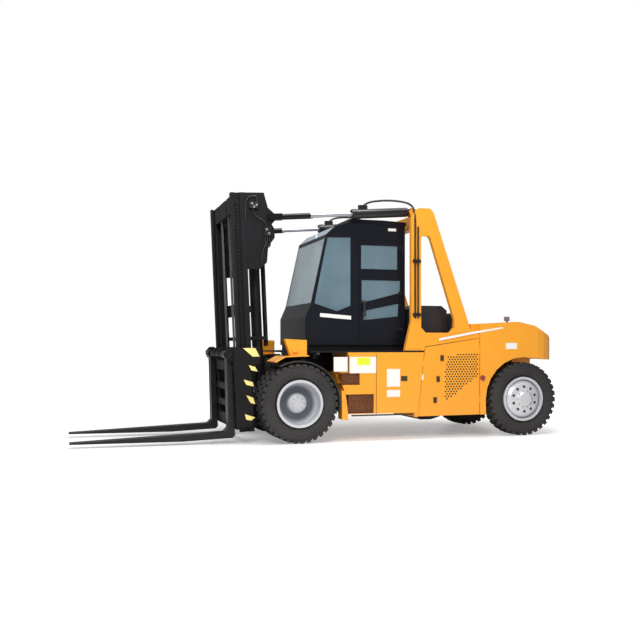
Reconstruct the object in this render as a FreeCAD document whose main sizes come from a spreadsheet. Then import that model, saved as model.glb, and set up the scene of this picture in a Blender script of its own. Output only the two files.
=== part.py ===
import FreeCAD, Part
import math
import os
import Sketcher
from FreeCAD import Placement, Rotation, Vector

# Counterbalanced diesel forklift with an overhead-tilt mast.
# Millimetres, X forward to the forks, Y to the left, Z up, ground at Z = 0.
# Sub-parts are drawn with X = 0 over the drive axle. Every Placement then moves
# them so that X = 0 is the middle of the whole length.

os.makedirs("parts", exist_ok=True)
doc = FreeCAD.newDocument("forklift")
sheet = doc.addObject("Spreadsheet::Sheet", "Sizes")

# Driving sizes: name, value, what it is
SIZES = [
    ("wheel_radius", 613, "tyre outer radius, and height of both axles"),
    ("wheelbase", 3900, "drive axle to steer axle"),
    ("tyre_width", 315, "width of one tyre"),
    ("bead_radius", 345, "inner radius of a tyre"),
    ("flange_radius", 368, "outer radius of a rim flange"),
    ("drive_tyre_at", 1060, "outer drive tyre, centre from the truck's middle"),
    ("dual_pitch", 355, "outer to inner drive tyre"),
    ("steer_tyre_at", 1000, "steer tyre, centre from the truck's middle"),
    ("kingpin_at", 850, "kingpin from the truck's middle"),
    ("hub_radius", 150, "drive hub"),
    ("spindle_radius", 90, "drive spindle in the hub"),
    ("stub_radius", 60, "steer stub axle in its hub"),
    ("seat_gap", 0.3, "clearance of a seated or turning face"),
    ("run_gap", 6, "clearance between moving faces"),
    ("plate", 30, "heavy plate"),
    ("sheet_metal", 8, "thin covers"),
    ("side_at", 1150, "outer face of the truck's sides"),
    ("frame_half", 340, "outer face of a frame side member"),
    ("frame_top", 1340, "top of the frame"),
    ("frame_low", 480, "underside of the frame between the axles"),
    ("engine_top", 1440, "top of the engine block"),
    ("hood_floor", 1740, "seat of the hood in the counterweight"),
    ("frame_rise", 860, "underside of the frame over the steer axle"),
    ("frame_front", 250, "front end of the frame"),
    ("frame_rear", -4150, "rear end of the frame"),
    ("deck_under", 1400, "underside of the deck"),
    ("deck_thick", 24, "deck plate"),
    ("deck_front", -200, "front edge of the deck's wide part"),
    ("deck_rear", -2060, "rear edge of the deck"),
    ("body_rear", -4580, "rear end of the counterweight"),
    ("arch_radius", 700, "steer wheel arch about the axle"),
    ("guard_radius", 640, "inner radius of the drive wheel guard"),
    ("cab_half", 800, "outer face of a cab side"),
    ("cab_wall", 40, "cab wall and door"),
    ("cab_floor_at", 1515, "underside of the cab"),
    ("cab_rear", -1907, "rear face of the cab"),
    ("glass", 6, "window glass"),
    ("post_out", 1130, "outer face of the tilt frame's side plates"),
    ("post_in", 1050, "inner face of the tilt frame's side plates"),
    ("pivot_x", 360, "mast tilt pin, forward of the drive axle"),
    ("pivot_z", 500, "mast tilt pin, height"),
    ("pivot_radius", 45, "mast tilt pin"),
    ("lean", 2.5, "mast's forward lean at rest, degrees"),
    ("mast_half", 930, "outer face of the outer rails"),
    ("rail_back", 300, "rear face of the rails, ahead of the tilt pin"),
    ("rail_front", 520, "front face of the rails, ahead of the tilt pin"),
    ("rail_flange", 35, "outer rail flanges"),
    ("rail_web", 55, "outer rail web"),
    ("guide_deep", 30, "recess of the guide chain in the rail web"),
    ("guide_pitch", 55, "pitch of the guide chain"),
    ("rail_depth", 115, "outer rail width"),
    ("rail_top", 3380, "top of the mast above the tilt pin"),
    ("rail_foot", -300, "foot of the mast, from the tilt pin"),
    ("inner_depth", 185, "inner rail width"),
    ("inner_flange", 30, "inner rail flanges"),
    ("lift_at", 450, "lift cylinder from the mast's middle"),
    ("lift_x", 92, "lift cylinder ahead of the tilt pin"),
    ("lift_radius", 82, "lift cylinder barrel"),
    ("lift_rod", 45, "lift cylinder rod"),
    ("chain_at", 300, "lift chain from the mast's middle"),
    ("sheave_radius", 140, "chain sheave to the chain's middle"),
    ("chain_thick", 26, "lift chain thickness"),
    ("chain_wide", 60, "lift chain width"),
    ("carriage_half", 1015, "outer face of the carriage side plates"),
    ("carriage_top", 1010, "top of the carriage above the tilt pin"),
    ("carriage_low", -250, "foot of the carriage, from the tilt pin"),
    ("carriage_back", 548, "rear face of the carriage bars"),
    ("carriage_bar", 46, "carriage bar thickness"),
    ("shaft_radius", 45, "fork shaft"),
    ("shaft_z", 900, "fork shaft above the tilt pin"),
    ("fork_at", 750, "fork from the mast's middle"),
    ("fork_wide", 210, "fork width"),
    ("fork_thick", 100, "fork thickness at the heel"),
    ("fork_tip_thick", 20, "fork thickness at the tip"),
    ("fork_long", 2350, "blade ahead of the shank"),
    ("blade_top", -285, "blade's upper face, from the tilt pin"),
    ("tilt_at", 900, "tilt cylinder from the truck's middle"),
    ("tilt_eye_x", -1975, "tilt cylinder's rear pin"),
    ("tilt_eye_z", 3690, "tilt cylinder's rear pin, height"),
    ("tilt_lug_x", -91, "tilt rod's eye, from the tilt pin, in the mast"),
    ("tilt_lug_z", 2999, "tilt rod's eye, above the tilt pin, in the mast"),
    ("tilt_barrel", 75, "tilt cylinder barrel"),
    ("tilt_bore", 60, "tilt cylinder bore"),
    ("tilt_rod", 32, "tilt rod"),
    ("tilt_long", 1040, "tilt barrel, rear pin to gland"),
    ("tilt_pin", 30, "tilt cylinder pins"),
]


def text_of(item):
    """Expression text of a size or a plain number."""
    return item.text if isinstance(item, Size) else repr(float(item))


def value_of(item):
    """Value of a size or a plain number."""
    return item.value if isinstance(item, Size) else float(item)


class Size:
    """A value of the sheet, or a sum of such values, with its expression text."""

    def __init__(self, value, text):
        self.value = value
        self.text = text

    def __add__(self, other):
        return Size(self.value + value_of(other), "(%s + %s)" % (self.text, text_of(other)))

    def __sub__(self, other):
        return Size(self.value - value_of(other), "(%s - %s)" % (self.text, text_of(other)))

    def __mul__(self, other):
        return Size(self.value * value_of(other), "(%s * %s)" % (self.text, text_of(other)))

    def __truediv__(self, other):
        return Size(self.value / value_of(other), "(%s / %s)" % (self.text, text_of(other)))

    def __radd__(self, other):
        return Size(value_of(other) + self.value, "(%s + %s)" % (text_of(other), self.text))

    def __rsub__(self, other):
        return Size(value_of(other) - self.value, "(%s - %s)" % (text_of(other), self.text))

    __rmul__ = __mul__

    def __neg__(self):
        return Size(-self.value, "(0 - %s)" % self.text)


def cosine(angle):
    return Size(math.cos(math.radians(value_of(angle))), "cos(%s)" % text_of(angle))


def sine(angle):
    return Size(math.sin(math.radians(value_of(angle))), "sin(%s)" % text_of(angle))


def root(item):
    return Size(math.sqrt(value_of(item)), "sqrt(%s)" % text_of(item))


def slope(rise, run):
    angle = math.degrees(math.atan2(value_of(rise), value_of(run)))
    return Size(angle, "(atan2(%s; %s) / 1 deg)" % (text_of(rise), text_of(run)))


class Sheet:
    """Gives each alias of the sheet as a Size."""


for row, (alias, number, meaning) in enumerate(SIZES, 1):
    sheet.set("A%d" % row, alias)
    sheet.set("B%d" % row, str(number))
    sheet.set("C%d" % row, meaning)
    sheet.setAlias("B%d" % row, alias)
    setattr(Sheet, alias, Size(float(number), "Sizes." + alias))
doc.recompute()
V = Sheet

# Drawing helpers

ROLES = {"x": "YZ_Plane", "y": "XZ_Plane", "z": "XY_Plane"}


def tie(thing, name, item):
    """Bind one property to a size or a number."""
    thing.setExpression(name, text_of(item))


def add_loop(sketch, loop):
    """Add a closed polygon, or a circle given as (centre, centre, radius)."""
    first = sketch.GeometryCount
    if len(loop) == 3 and not isinstance(loop[0], tuple):
        across, up, radius = loop
        centre = Vector(value_of(across), value_of(up), 0)
        sketch.addGeometry(Part.Circle(centre, Vector(0, 0, 1), value_of(radius)), False)
        rules = [("DistanceX", across, 3), ("DistanceY", up, 3)]
        for kind, item, point in rules:
            sketch.addConstraint(Sketcher.Constraint(kind, -1, 1, first, point, value_of(item)))
            tie(sketch, "Constraints[%d]" % (sketch.ConstraintCount - 1), item)
        sketch.addConstraint(Sketcher.Constraint("Radius", first, value_of(radius)))
        tie(sketch, "Constraints[%d]" % (sketch.ConstraintCount - 1), radius)
        return
    count = len(loop)
    for at in range(count):
        start = Vector(value_of(loop[at][0]), value_of(loop[at][1]), 0)
        after = loop[(at + 1) % count]
        end = Vector(value_of(after[0]), value_of(after[1]), 0)
        sketch.addGeometry(Part.LineSegment(start, end), False)
    for at in range(count):
        joined = Sketcher.Constraint("Coincident", first + at, 2, first + (at + 1) % count, 1)
        sketch.addConstraint(joined)
    for at in range(count):
        for kind, item in zip(("DistanceX", "DistanceY"), loop[at]):
            rule = Sketcher.Constraint(kind, -1, 1, first + at, 1, value_of(item))
            sketch.addConstraint(rule)
            tie(sketch, "Constraints[%d]" % (sketch.ConstraintCount - 1), item)


def add_sketch(body, normal, loops, offset):
    """A sketch on one of the body's origin planes, moved along its normal."""
    sketch = body.newObject("Sketcher::SketchObject", body.Name + "_outline")
    planes = [item for item in body.Origin.OriginFeatures if item.Role == ROLES[normal]]
    sketch.AttachmentSupport = [(planes[0], "")]
    sketch.MapMode = "FlatFace"
    tie(sketch, "AttachmentOffset.Base.z", offset)
    for loop in loops:
        add_loop(sketch, loop)
    return sketch


def pad(name, normal, low, high, *loops):
    """A plate between two stations of one axis, with its outline and its holes."""
    body = doc.addObject("PartDesign::Body", name)
    start = -high if normal == "y" else low
    feature = body.newObject("PartDesign::Pad", name + "_pad")
    feature.Profile = add_sketch(body, normal, loops, start)
    tie(feature, "Length", high - low)
    body.Tip = feature
    return body


def turn(name, profile):
    """A body turned about the Y axis. The profile holds (radius, y) points."""
    body = doc.addObject("PartDesign::Body", name)
    sketch = add_sketch(body, "z", [profile], 0)
    feature = body.newObject("PartDesign::Revolution", name + "_turn")
    feature.Profile = sketch
    feature.ReferenceAxis = (sketch, ["V_Axis"])
    feature.Angle = 360
    body.Tip = feature
    return body


def box(name, x, y, z):
    solid = doc.addObject("Part::Box", name)
    for side, axis, span in zip(("Length", "Width", "Height"), "xyz", (x, y, z)):
        tie(solid, side, span[1] - span[0])
        tie(solid, "Placement.Base." + axis, span[0])
    return solid


TURNS = {"x": (Vector(0, 1, 0), 90), "y": (Vector(1, 0, 0), -90), "z": (Vector(0, 0, 1), 0)}


def rod(name, axis, centre, span, radius):
    """A cylinder along one axis. The centre holds its other two coordinates."""
    solid = doc.addObject("Part::Cylinder", name)
    solid.Placement = Placement(Vector(), Rotation(*TURNS[axis]))
    tie(solid, "Radius", radius)
    tie(solid, "Height", span[1] - span[0])
    tie(solid, "Placement.Base." + axis, span[0])
    for other, item in zip([side for side in "xyz" if side != axis], centre):
        tie(solid, "Placement.Base." + other, item)
    return solid


def cut(name, base, tool):
    solid = doc.addObject("Part::Cut", name)
    solid.Base = base
    solid.Tool = tool
    return solid


def fuse(name, shapes):
    solid = doc.addObject("Part::MultiFuse", name)
    solid.Shapes = shapes
    return solid


def common(name, shapes):
    solid = doc.addObject("Part::MultiCommon", name)
    solid.Shapes = shapes
    return solid


def group(name, shapes):
    holder = doc.addObject("Part::Compound", name)
    holder.Links = shapes
    return holder


def mirrored(name, source):
    """The same piece on the other side of the truck's middle plane."""
    solid = doc.addObject("Part::Mirroring", name)
    solid.Source = source
    solid.Normal = Vector(0, 1, 0)
    return solid


def both(name, source):
    """A piece of the left side and its mirror copy."""
    return [source, mirrored(name + "_right", source)]


# Places that the frames need

fork_tip_x = V.carriage_back + V.carriage_bar + V.fork_thick + V.fork_long
tip_forward = V.pivot_x + fork_tip_x * cosine(V.lean) + V.blade_top * sine(V.lean)
middle_x = (tip_forward + V.body_rear) / 2
lug_x = V.pivot_x + V.tilt_lug_x * cosine(V.lean) + V.tilt_lug_z * sine(V.lean)
lug_z = V.pivot_z - V.tilt_lug_x * sine(V.lean) + V.tilt_lug_z * cosine(V.lean)
tilt_run = lug_x - V.tilt_eye_x
tilt_drop = V.tilt_eye_z - lug_z
tilt_reach = root(tilt_run * tilt_run + tilt_drop * tilt_drop)

# Where each frame starts and how far it turns about Y
FRAMES = {
    "truck": (0, 0, None),
    "mast": (V.pivot_x, V.pivot_z, V.lean),
    "tilt": (V.tilt_eye_x, V.tilt_eye_z, slope(tilt_drop, tilt_run)),
    "drive": (0, V.wheel_radius, None),
    "steer": (-V.wheelbase, V.wheel_radius, None),
}
nodes = []


def node(label, solid, frame="truck"):
    """Name a sub-part and set it in the whole truck's frame."""
    at_x, at_z, angle = FRAMES[frame]
    if angle is not None:
        solid.Placement = Placement(Vector(), Rotation(Vector(0, 1, 0), value_of(angle)))
        tie(solid, "Placement.Rotation.Angle", angle)
    tie(solid, "Placement.Base.x", at_x - middle_x)
    tie(solid, "Placement.Base.z", at_z)
    solid.Label = label
    nodes.append(solid)
    return solid


def node_pair(label, solid, frame="truck"):
    """A left sub-part and its mirror copy on the right."""
    node(label + "_left", solid, frame)
    copy = mirrored(label + "_copy", solid)
    copy.Label = label + "_right"
    nodes.append(copy)


# Wheels

half_tyre = V.tyre_width / 2
seat_radius = V.bead_radius - V.seat_gap
flange_in = half_tyre - 12
barrel_in = V.bead_radius - 17


def tyre(name, at):
    """A tyre with a crowned tread and rounded shoulders, centred at y = at."""
    rows = [
        # radius inside the tyre's outer radius, share of the half width
        (V.bead_radius, 0.88),
        (V.bead_radius + 85, 1.0),
        (V.wheel_radius - 60, 1.0),
        (V.wheel_radius - 18, 0.9),
        (V.wheel_radius, 0.74),
    ]
    right = [(radius, at - half_tyre * share) for radius, share in rows]
    left = [(radius, at + half_tyre * share) for radius, share in reversed(rows)]
    return turn(name, right + left)


def drive_tyres():
    outer = tyre("outer_tyre", V.drive_tyre_at)
    inner = tyre("inner_tyre", V.drive_tyre_at - V.dual_pitch)
    node_pair("drive_tyres", group("drive_tyres", [outer, inner]), "drive")


def drive_rim():
    """Deep rim of both tyres with its recessed disc and hub, one turned piece."""
    outer = V.drive_tyre_at
    inner = V.drive_tyre_at - V.dual_pitch
    disc = outer - 55
    profile = [(0, disc - 39), (0, disc + 75), (V.hub_radius - 30, disc + 75)]
    profile += [(V.hub_radius, disc + 45), (V.hub_radius, disc), (barrel_in, disc)]
    profile += [(barrel_in, outer + half_tyre), (V.flange_radius, outer + half_tyre)]
    profile += [(V.flange_radius, outer + flange_in), (seat_radius, outer + flange_in)]
    profile += [(seat_radius, outer - flange_in), (V.flange_radius, outer - flange_in)]
    profile += [(V.flange_radius, outer - half_tyre), (seat_radius, outer - half_tyre)]
    profile += [(seat_radius, inner + half_tyre), (V.flange_radius, inner + half_tyre)]
    profile += [(V.flange_radius, inner + flange_in), (seat_radius, inner + flange_in)]
    profile += [(seat_radius, inner - flange_in), (V.flange_radius, inner - flange_in)]
    profile += [(V.flange_radius, inner - half_tyre), (barrel_in, inner - half_tyre)]
    profile += [(barrel_in, disc - 20), (V.hub_radius, disc - 20)]
    profile += [(V.hub_radius, disc - 175), (V.spindle_radius + V.seat_gap, disc - 175)]
    profile += [(V.spindle_radius + V.seat_gap, disc - 39)]
    node_pair("drive_rims", turn("drive_rim", profile), "drive")


def steer_wheel():
    """Single wheel with a bulged disc, and its tyre."""
    node_pair("steer_tyre", tyre("steer_tyre", V.steer_tyre_at), "steer")
    at = V.steer_tyre_at
    bore = V.stub_radius + V.seat_gap
    profile = [(0, at + 170), (0, at + 228), (105, at + 228), (125, at + 205)]
    profile += [(150, at + 190), (250, at + 165), (300, at + 130), (barrel_in, at + 80)]
    profile += [(barrel_in, at + half_tyre), (V.flange_radius, at + half_tyre)]
    profile += [(V.flange_radius, at + flange_in), (seat_radius, at + flange_in)]
    profile += [(seat_radius, at - flange_in), (V.flange_radius, at - flange_in)]
    profile += [(V.flange_radius, at - half_tyre), (barrel_in, at - half_tyre)]
    profile += [(barrel_in, at + 60), (285, at + 105), (235, at + 138), (110, at + 158)]
    profile += [(110, at - 40), (bore, at - 40), (bore, at + 170)]
    node_pair("steer_rim", turn("steer_rim", profile), "steer")


def knuckle():
    """Steering knuckle: a block on the kingpin and the stub axle."""
    at = V.kingpin_at
    block = box("knuckle_block", (-70, 70), (at - 60, at + 60), (-105, 105))
    arm = box("knuckle_arm", (-120, -60), (at - 25, at + 25), (-30, 30))
    stub = rod("knuckle_stub", "y", (0, 0), (at + 40, V.steer_tyre_at + 165), V.stub_radius)
    whole = fuse("knuckle_solid", [block, arm, stub])
    pin = rod("knuckle_bore", "z", (0, at), (-120, 120), 40 + V.seat_gap)
    node_pair("knuckle", cut("knuckle", whole, pin), "steer")


# Axles and frame


def steer_axle():
    """Box beam with forked ends around the kingpins, and its cross cylinder."""
    at = V.kingpin_at
    beam = box("steer_beam", (-100, 100), (-at + 125, at - 125), (-120, 120))
    trunnion = rod("steer_trunnion", "x", (0, 150), (-165, 165), 60)
    cylinder = rod("steer_cylinder", "y", (-150, 0), (-380, 380), 60)
    clamp = box("steer_clamp", (-150, -60), (-60, 60), (-50, 50))
    ends = []
    for side in (-1, 1):
        for level in (-1, 1):
            low, high = sorted((level * 111, level * 180))
            tongue = (at - 110, at + 60) if side > 0 else (-at - 60, -at + 110)
            name = "yoke%d%d" % (side + 1, level + 1)
            ends.append(box(name, (-75, 75), tongue, (low, high)))
        root_y = (at - 135, at - 105) if side > 0 else (105 - at, 135 - at)
        ends.append(box("yoke_root%d" % (side + 1), (-60, 60), root_y, (-180, 180)))
        ends.append(rod("kingpin%d" % (side + 1), "z", (0, side * at), (-150, 150), 40))
    whole = fuse("steer_axle", [beam, trunnion, cylinder, clamp] + ends)
    node("steer_axle", whole, "steer")


def drive_axle():
    """Banjo housing with brake drums, spindles and the brackets of the mast pin."""
    end = V.drive_tyre_at - 100
    rows = [
        # distance from the middle, radius
        (end, V.spindle_radius),
        (815, V.spindle_radius),
        (815, 210),
        (500, 210),
        (480, 140),
        (300, 140),
        (180, 240),
    ]
    left = [(radius, at) for at, radius in rows]
    right = [(radius, -at) for at, radius in reversed(rows)]
    housing = turn("axle_housing", [(0, end)] + left + right + [(0, -end)])
    pieces = [housing]
    drop = V.pivot_z - V.wheel_radius
    outline = [(0, 120), (120, 120), (V.pivot_x + 60, drop + 80), (V.pivot_x + 95, drop)]
    outline += [(V.pivot_x + 60, drop - 85), (V.pivot_x - 60, drop - 85), (0, -120)]
    for name, inner in (("mast_bracket_in", 335), ("mast_bracket_out", 425)):
        plate = pad(name, "y", inner, inner + 40, outline)
        pieces += both(name, plate)
    pin = rod("mast_pin", "y", (V.pivot_x, drop), (335, 465), V.pivot_radius)
    pieces += both("mast_pin", pin)
    saddle = box("axle_saddle", (-110, 110), (290, 350), (100, 187 - V.seat_gap))
    pieces += both("axle_saddle", saddle)
    node("drive_axle", fuse("drive_axle", pieces), "drive")


def main_frame():
    """Two side members, crossmembers, outriggers and the steer axle's brackets."""
    low = V.wheel_radius + 187
    outline = [(V.frame_front, low), (V.frame_front, V.frame_top)]
    outline += [(V.frame_rear, V.frame_top), (V.frame_rear, V.frame_rise)]
    outline += [(-3350, V.frame_rise), (-3180, V.frame_low), (-440, V.frame_low), (-330, low)]
    member = pad("side_member", "y", V.frame_half - 40, V.frame_half, outline)
    pieces = both("side_member", member)
    crossing = [
        # name, x from, x to, half width, z from, z to
        ("cross_front", 180, 220, 320, 860, 1300),
        ("cross_cab", -900, -860, 320, 600, 1300),
        ("cross_engine_front", -2300, -2200, 320, 500, 600),
        ("cross_engine_rear", -2980, -2880, 320, 500, 600),
        ("cross_rear", -3400, -3360, 320, 880, 1300),
        ("cross_trunnion", -4110, -3690, 320, 900, 960),
        ("outrigger_front", -150, -60, 1000, 1300, 1340),
        ("outrigger_cab", -330, -270, 1000, 1300, 1400),
    ]
    for name, start, end, half, bottom, top in crossing:
        low_z = bottom
        high_z = top - V.seat_gap
        pieces.append(box(name, (start, end), (-half, half), (low_z, high_z)))
    axle_x = -V.wheelbase
    trunnion_z = V.wheel_radius + 150
    for name, start in (("hanger_front", 115), ("hanger_rear", -155)):
        hanger = box(name, (axle_x + start, axle_x + start + 40), (-120, 120), (trunnion_z - 85, 920))
        hole = rod(name + "_bore", "x", (0, trunnion_z), (axle_x - 200, axle_x + 200), 60 + V.seat_gap)
        pieces.append(cut(name + "_bored", hanger, hole))
    node("main_frame", fuse("main_frame", pieces))


def counterweight():
    """Cast rear body: side outline and rounded plan, with arch and hood recess."""
    axle_x = -V.wheelbase
    front = -3100
    steps = 7
    side = [(front, 370), (axle_x + V.arch_radius - 5, 370)]
    for step in range(steps):
        angle = 90.0 * step / (steps - 1)
        reach = (axle_x + V.arch_radius * cosine(angle), V.wheel_radius + V.arch_radius * sine(angle))
        side.append(reach)
    side += [(axle_x - 590, 1262), (V.body_rear, 1262), (V.body_rear, 1560)]
    side += [(V.body_rear + 90, 1655), (V.body_rear + 230, 1715), (V.body_rear + 462, 1840)]
    side += [(V.body_rear + 768, 1905), (V.body_rear + 1030, 1885), (front, 1860)]
    profile = pad("weight_side", "y", -V.side_at, V.side_at, side)
    corner = 400
    plan = [(front, -V.side_at), (front, V.side_at)]
    for turn_sign in (1, -1):
        arc = []
        for step in range(6):
            angle = 90.0 * step / 5
            along = V.body_rear + corner - corner * sine(angle)
            across = (V.side_at - corner + corner * cosine(angle)) * turn_sign
            arc.append((along, across))
        plan += arc if turn_sign > 0 else list(reversed(arc))
    footprint = pad("weight_plan", "z", 300, 2000, plan)
    shell = common("weight_shell", [profile, footprint])
    nose = box("weight_nose", (V.body_rear + 60, V.frame_rear - V.seat_gap), (-340, 340), (560, 1300))
    solid = fuse("weight_whole", [shell, nose])
    slot = box("weight_slot", (V.frame_rear - V.seat_gap, front + 50), (-345, 345), (300, V.frame_top + V.seat_gap))
    recess = box("hood_recess", (-3460, front + 50), (-1044, 1044), (V.hood_floor, 2000))
    tow_slot = box("tow_slot", (V.body_rear - 10, V.body_rear + 230), (-120, 120), (700, 800))
    tow_bore = rod("tow_bore", "z", (V.body_rear + 130, 0), (500, 900), 25)
    tools = fuse("weight_tools", [slot, recess, tow_slot, tow_bore])
    node("counterweight", cut("counterweight", solid, tools))


# Body panels

DOOR_LINE = {"low_x": -1990, "low_z": 365, "high_x": -2115, "high_z": 1485, "rear_x": -3092}


def engine_doors():
    outline = [(DOOR_LINE["low_x"], DOOR_LINE["low_z"]), (-2113, 1410), (-2131, 1482)]
    outline += [(DOOR_LINE["rear_x"], 1625), (DOOR_LINE["rear_x"], 372)]
    pieces = [pad("engine_door", "y", V.post_out - 30, V.post_out, outline)]
    for name, low in (("door_hinge_low", 560), ("door_hinge_high", 1380)):
        pieces.append(rod(name, "z", (DOOR_LINE["rear_x"], V.post_out), (low, low + 120), 7))
    node_pair("engine_door", fuse("engine_door_held", pieces))


def side_boxes():
    """Tank and battery boxes with two stepped pockets at the front."""
    outline = [(-795, 1395), (-795, 1090), (-660, 1090), (-700, 890), (-760, 745), (-800, 430)]
    outline += [(-1920, 430), (-1935, 355), (-1980, 355), (-2095, V.deck_under - V.seat_gap)]
    outline[0] = (-795, V.deck_under - V.seat_gap)
    block = pad("side_box_block", "y", V.frame_half + V.seat_gap, V.side_at, outline)
    upper = box("pocket_upper", (-995, -600), (930, V.side_at + 5), (890, 1079))
    lower = box("pocket_lower", (-1230, -700), (930, V.side_at + 5), (440, 741))
    solid = cut("side_box", block, fuse("pockets", [upper, lower]))
    node("side_boxes", group("side_boxes", both("side_box", solid)))


def boarding_steps():
    pieces = []
    rows = [
        # name, x from, x to, z from, z to
        ("step_upper", -994.7, -700, 890.3, 1078.7),
        ("step_lower", -1229.7, -812, 440.3, 740.7),
    ]
    for name, start, end, low, high in rows:
        riser = box(name + "_riser", (start, end), (1100, V.side_at - 35), (low, high))
        tread = box(name + "_tread", (start, end), (931, V.side_at - 30), (low, low + 20))
        pieces += both(name, fuse(name, [riser, tread]))
    node("boarding_steps", group("boarding_steps", pieces))


def wheel_guards():
    """Black guards that follow the drive tyres over their top and rear."""
    steps = 12
    start, end = 62.0, 192.0
    outer = []
    inner = []
    for step in range(steps + 1):
        angle = start + (end - start) * step / steps
        for line, radius in ((outer, V.guard_radius + 25), (inner, V.guard_radius)):
            line.append((radius * cosine(angle), V.wheel_radius + radius * sine(angle)))
    guard = pad("wheel_guard", "y", V.drive_tyre_at - 500, V.side_at + 45, outer + list(reversed(inner)))
    strut = box("guard_strut", (-140, -70), (600, 980), (1262, 1300 - V.seat_gap))
    held = fuse("wheel_guard_held", [guard, strut])
    node("wheel_guards", group("wheel_guards", both("wheel_guard_held", held)))


def fender_brackets():
    """Yellow towers with a round boss, fender plates and the step wedges."""
    tower = [(118, 1345), (214, 1609), (-139, 1594), (-139, 1345)]
    boss = rod("tower_boss", "y", (60, 1450), (1080, 1140), 48)
    plate = [(380, 1262), (230, 1345), (-60, 1358), (-150, 1358), (-150, 1340), (-60, 1340), (225, 1328), (372, 1246)]
    wedge = [(-690, 800), (-736.8, 800), (-759.6, 745), (-799.6, 430), (-799.6, 335), (-700, 350)]
    post = pad("tower", "y", V.side_at - 170, V.side_at - 50, tower)
    top = pad("fender_plate", "y", V.frame_half + 240, V.side_at + 30, plate)
    tower_all = fuse("tower_all", [post, top, boss])
    foot = pad("step_wedge", "y", V.side_at - 200, V.side_at - 1, wedge)
    pieces = both("tower_all", tower_all) + both("step_wedge", foot)
    node("fender_brackets", group("fender_brackets", pieces))


def deck():
    """Deck plate and the low plinth that carries the cab."""
    top = V.deck_under + V.deck_thick
    wide = box("deck_wide", (V.deck_rear, V.deck_front), (-V.side_at, V.side_at), (V.deck_under, top))
    front = box("deck_front", (V.deck_front, 150), (-900, 900), (V.deck_under, top))
    plinth = box("cab_plinth", (-1930, -220), (-760, 760), (top, V.cab_floor_at - V.seat_gap))
    node("deck", fuse("deck", [wide, front, plinth]))


def engine_block():
    node("engine_block", group("engine", [box("engine_box", (-3080, -2080), (-270, 270), (600, V.engine_top))]))


def engine_cover():
    """Black housings over the engine: rounded front box, base and rear box."""
    low = V.engine_top + V.seat_gap
    outline = [(-1965, low), (-1965, 2110), (-2020, 2165), (-2540, 2165), (-2635, 2090)]
    outline += [(-2650, 1730), (-2690, 1730), (-2760, 2050), (-2910, 1990), (-2955, 1730), (-2955, low)]
    cover = pad("engine_cover", "y", -850, 850, outline)
    node("engine_cover", cover)


def hood():
    """Hinged lid behind the engine cover, open below."""
    outer = box("hood_outer", (-3454, -2982), (-1038, 1038), (V.hood_floor + V.seat_gap, 1862))
    inner = box("hood_inner", (-3424, -3012), (-1008, 1008), (V.hood_floor - 20, 1842))
    node("hood", cut("hood", outer, inner))


def belly_tank():
    top = V.frame_low - V.seat_gap
    outline = [(-2050, top), (-2070, 380), (-2180, 290), (-2330, 250), (-2520, 250)]
    outline += [(-2670, 290), (-2780, 380), (-2800, top)]
    tank = pad("belly_tank", "y", -480, 480, outline)
    node("belly_tank", tank)


def tilt_frame():
    """A-shaped side plates with a rounded opening, and the beam that joins them."""
    outline = [(-1765, V.deck_under + V.deck_thick + V.seat_gap), (-1880, 1900), (-1880, 3560), (-1960, 3690)]
    outline += [(-2020, 3725), (-2210, 3725), (-2270, 3660), (-2930, 1775), (-3096, 1775)]
    outline += [(-3096, 1632), (-2125, 1492), (-2105, V.deck_under + V.deck_thick + V.seat_gap)]
    hole = [(-2075, 3280), (-2180, 3280), (-2215, 3240), (-2640, 1930), (-2640, 1800), (-2560, 1715)]
    hole += [(-2130, 1715), (-2050, 1800), (-2050, 3250)]
    side = pad("tilt_frame_side", "y", V.post_in, V.post_out, outline, hole)
    node_pair("tilt_frame", side)
    eye_x = V.tilt_eye_x
    eye_z = V.tilt_eye_z
    beam = box("tilt_beam_box", (eye_x - 240, eye_x - 90), (-V.post_in, V.post_in), (3440, eye_z - 30))
    pieces = [beam]
    lug = [(eye_x - 240, 3520), (eye_x - 90, 3480), (eye_x + 40, eye_z - 65), (eye_x + 60, eye_z + 10)]
    lug += [(eye_x + 10, eye_z + 60), (eye_x - 90, eye_z + 30), (eye_x - 240, eye_z - 30)]
    for name, inner in (("tilt_lug_in", -62), ("tilt_lug_out", 36)):
        plate = pad(name, "y", V.tilt_at + inner, V.tilt_at + inner + 26, lug)
        pieces += both(name, plate)
    pin = rod("tilt_eye_pin", "y", (eye_x, eye_z), (V.tilt_at - 62, V.tilt_at + 62), V.tilt_pin)
    pieces += both("tilt_eye_pin", pin)
    node("tilt_beam", fuse("tilt_beam", pieces))


# Cab

CAB_OUTLINE = [(-200, 1515), (-200, 1960), (-300, 2190), (-545, 3285), (-700, 3425), (-950, 3500)]
FRONT_PANE = [(-350, 2180), (-570, 3240), (-960, 3250), (-960, 2150), (-730, 2060)]
DOOR_HOLE = [(-1100, 1590), (-1100, 3210), (-1860, 3210), (-1860, 1590)]
DOOR_PANES = [
    [(-1140, 2750), (-1140, 3135), (-1770, 3135), (-1770, 2750)],
    [(-1150, 2200), (-1150, 2570), (-1820, 2570), (-1820, 2370)],
    [(-1180, 1920), (-1165, 2066), (-1790, 2197), (-1780, 1985)],
]
HINGES = [(1700, 1800), (2990, 3090)]
HINGE_X = -1857
HINGE_OUT = 12
REAR_PANE = [(-560, 2250), (560, 2250), (560, 3150), (-560, 3150)]


def tied(points):
    """Outline points as sizes that keep their place."""
    return [(x, z) for x, z in points]


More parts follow.
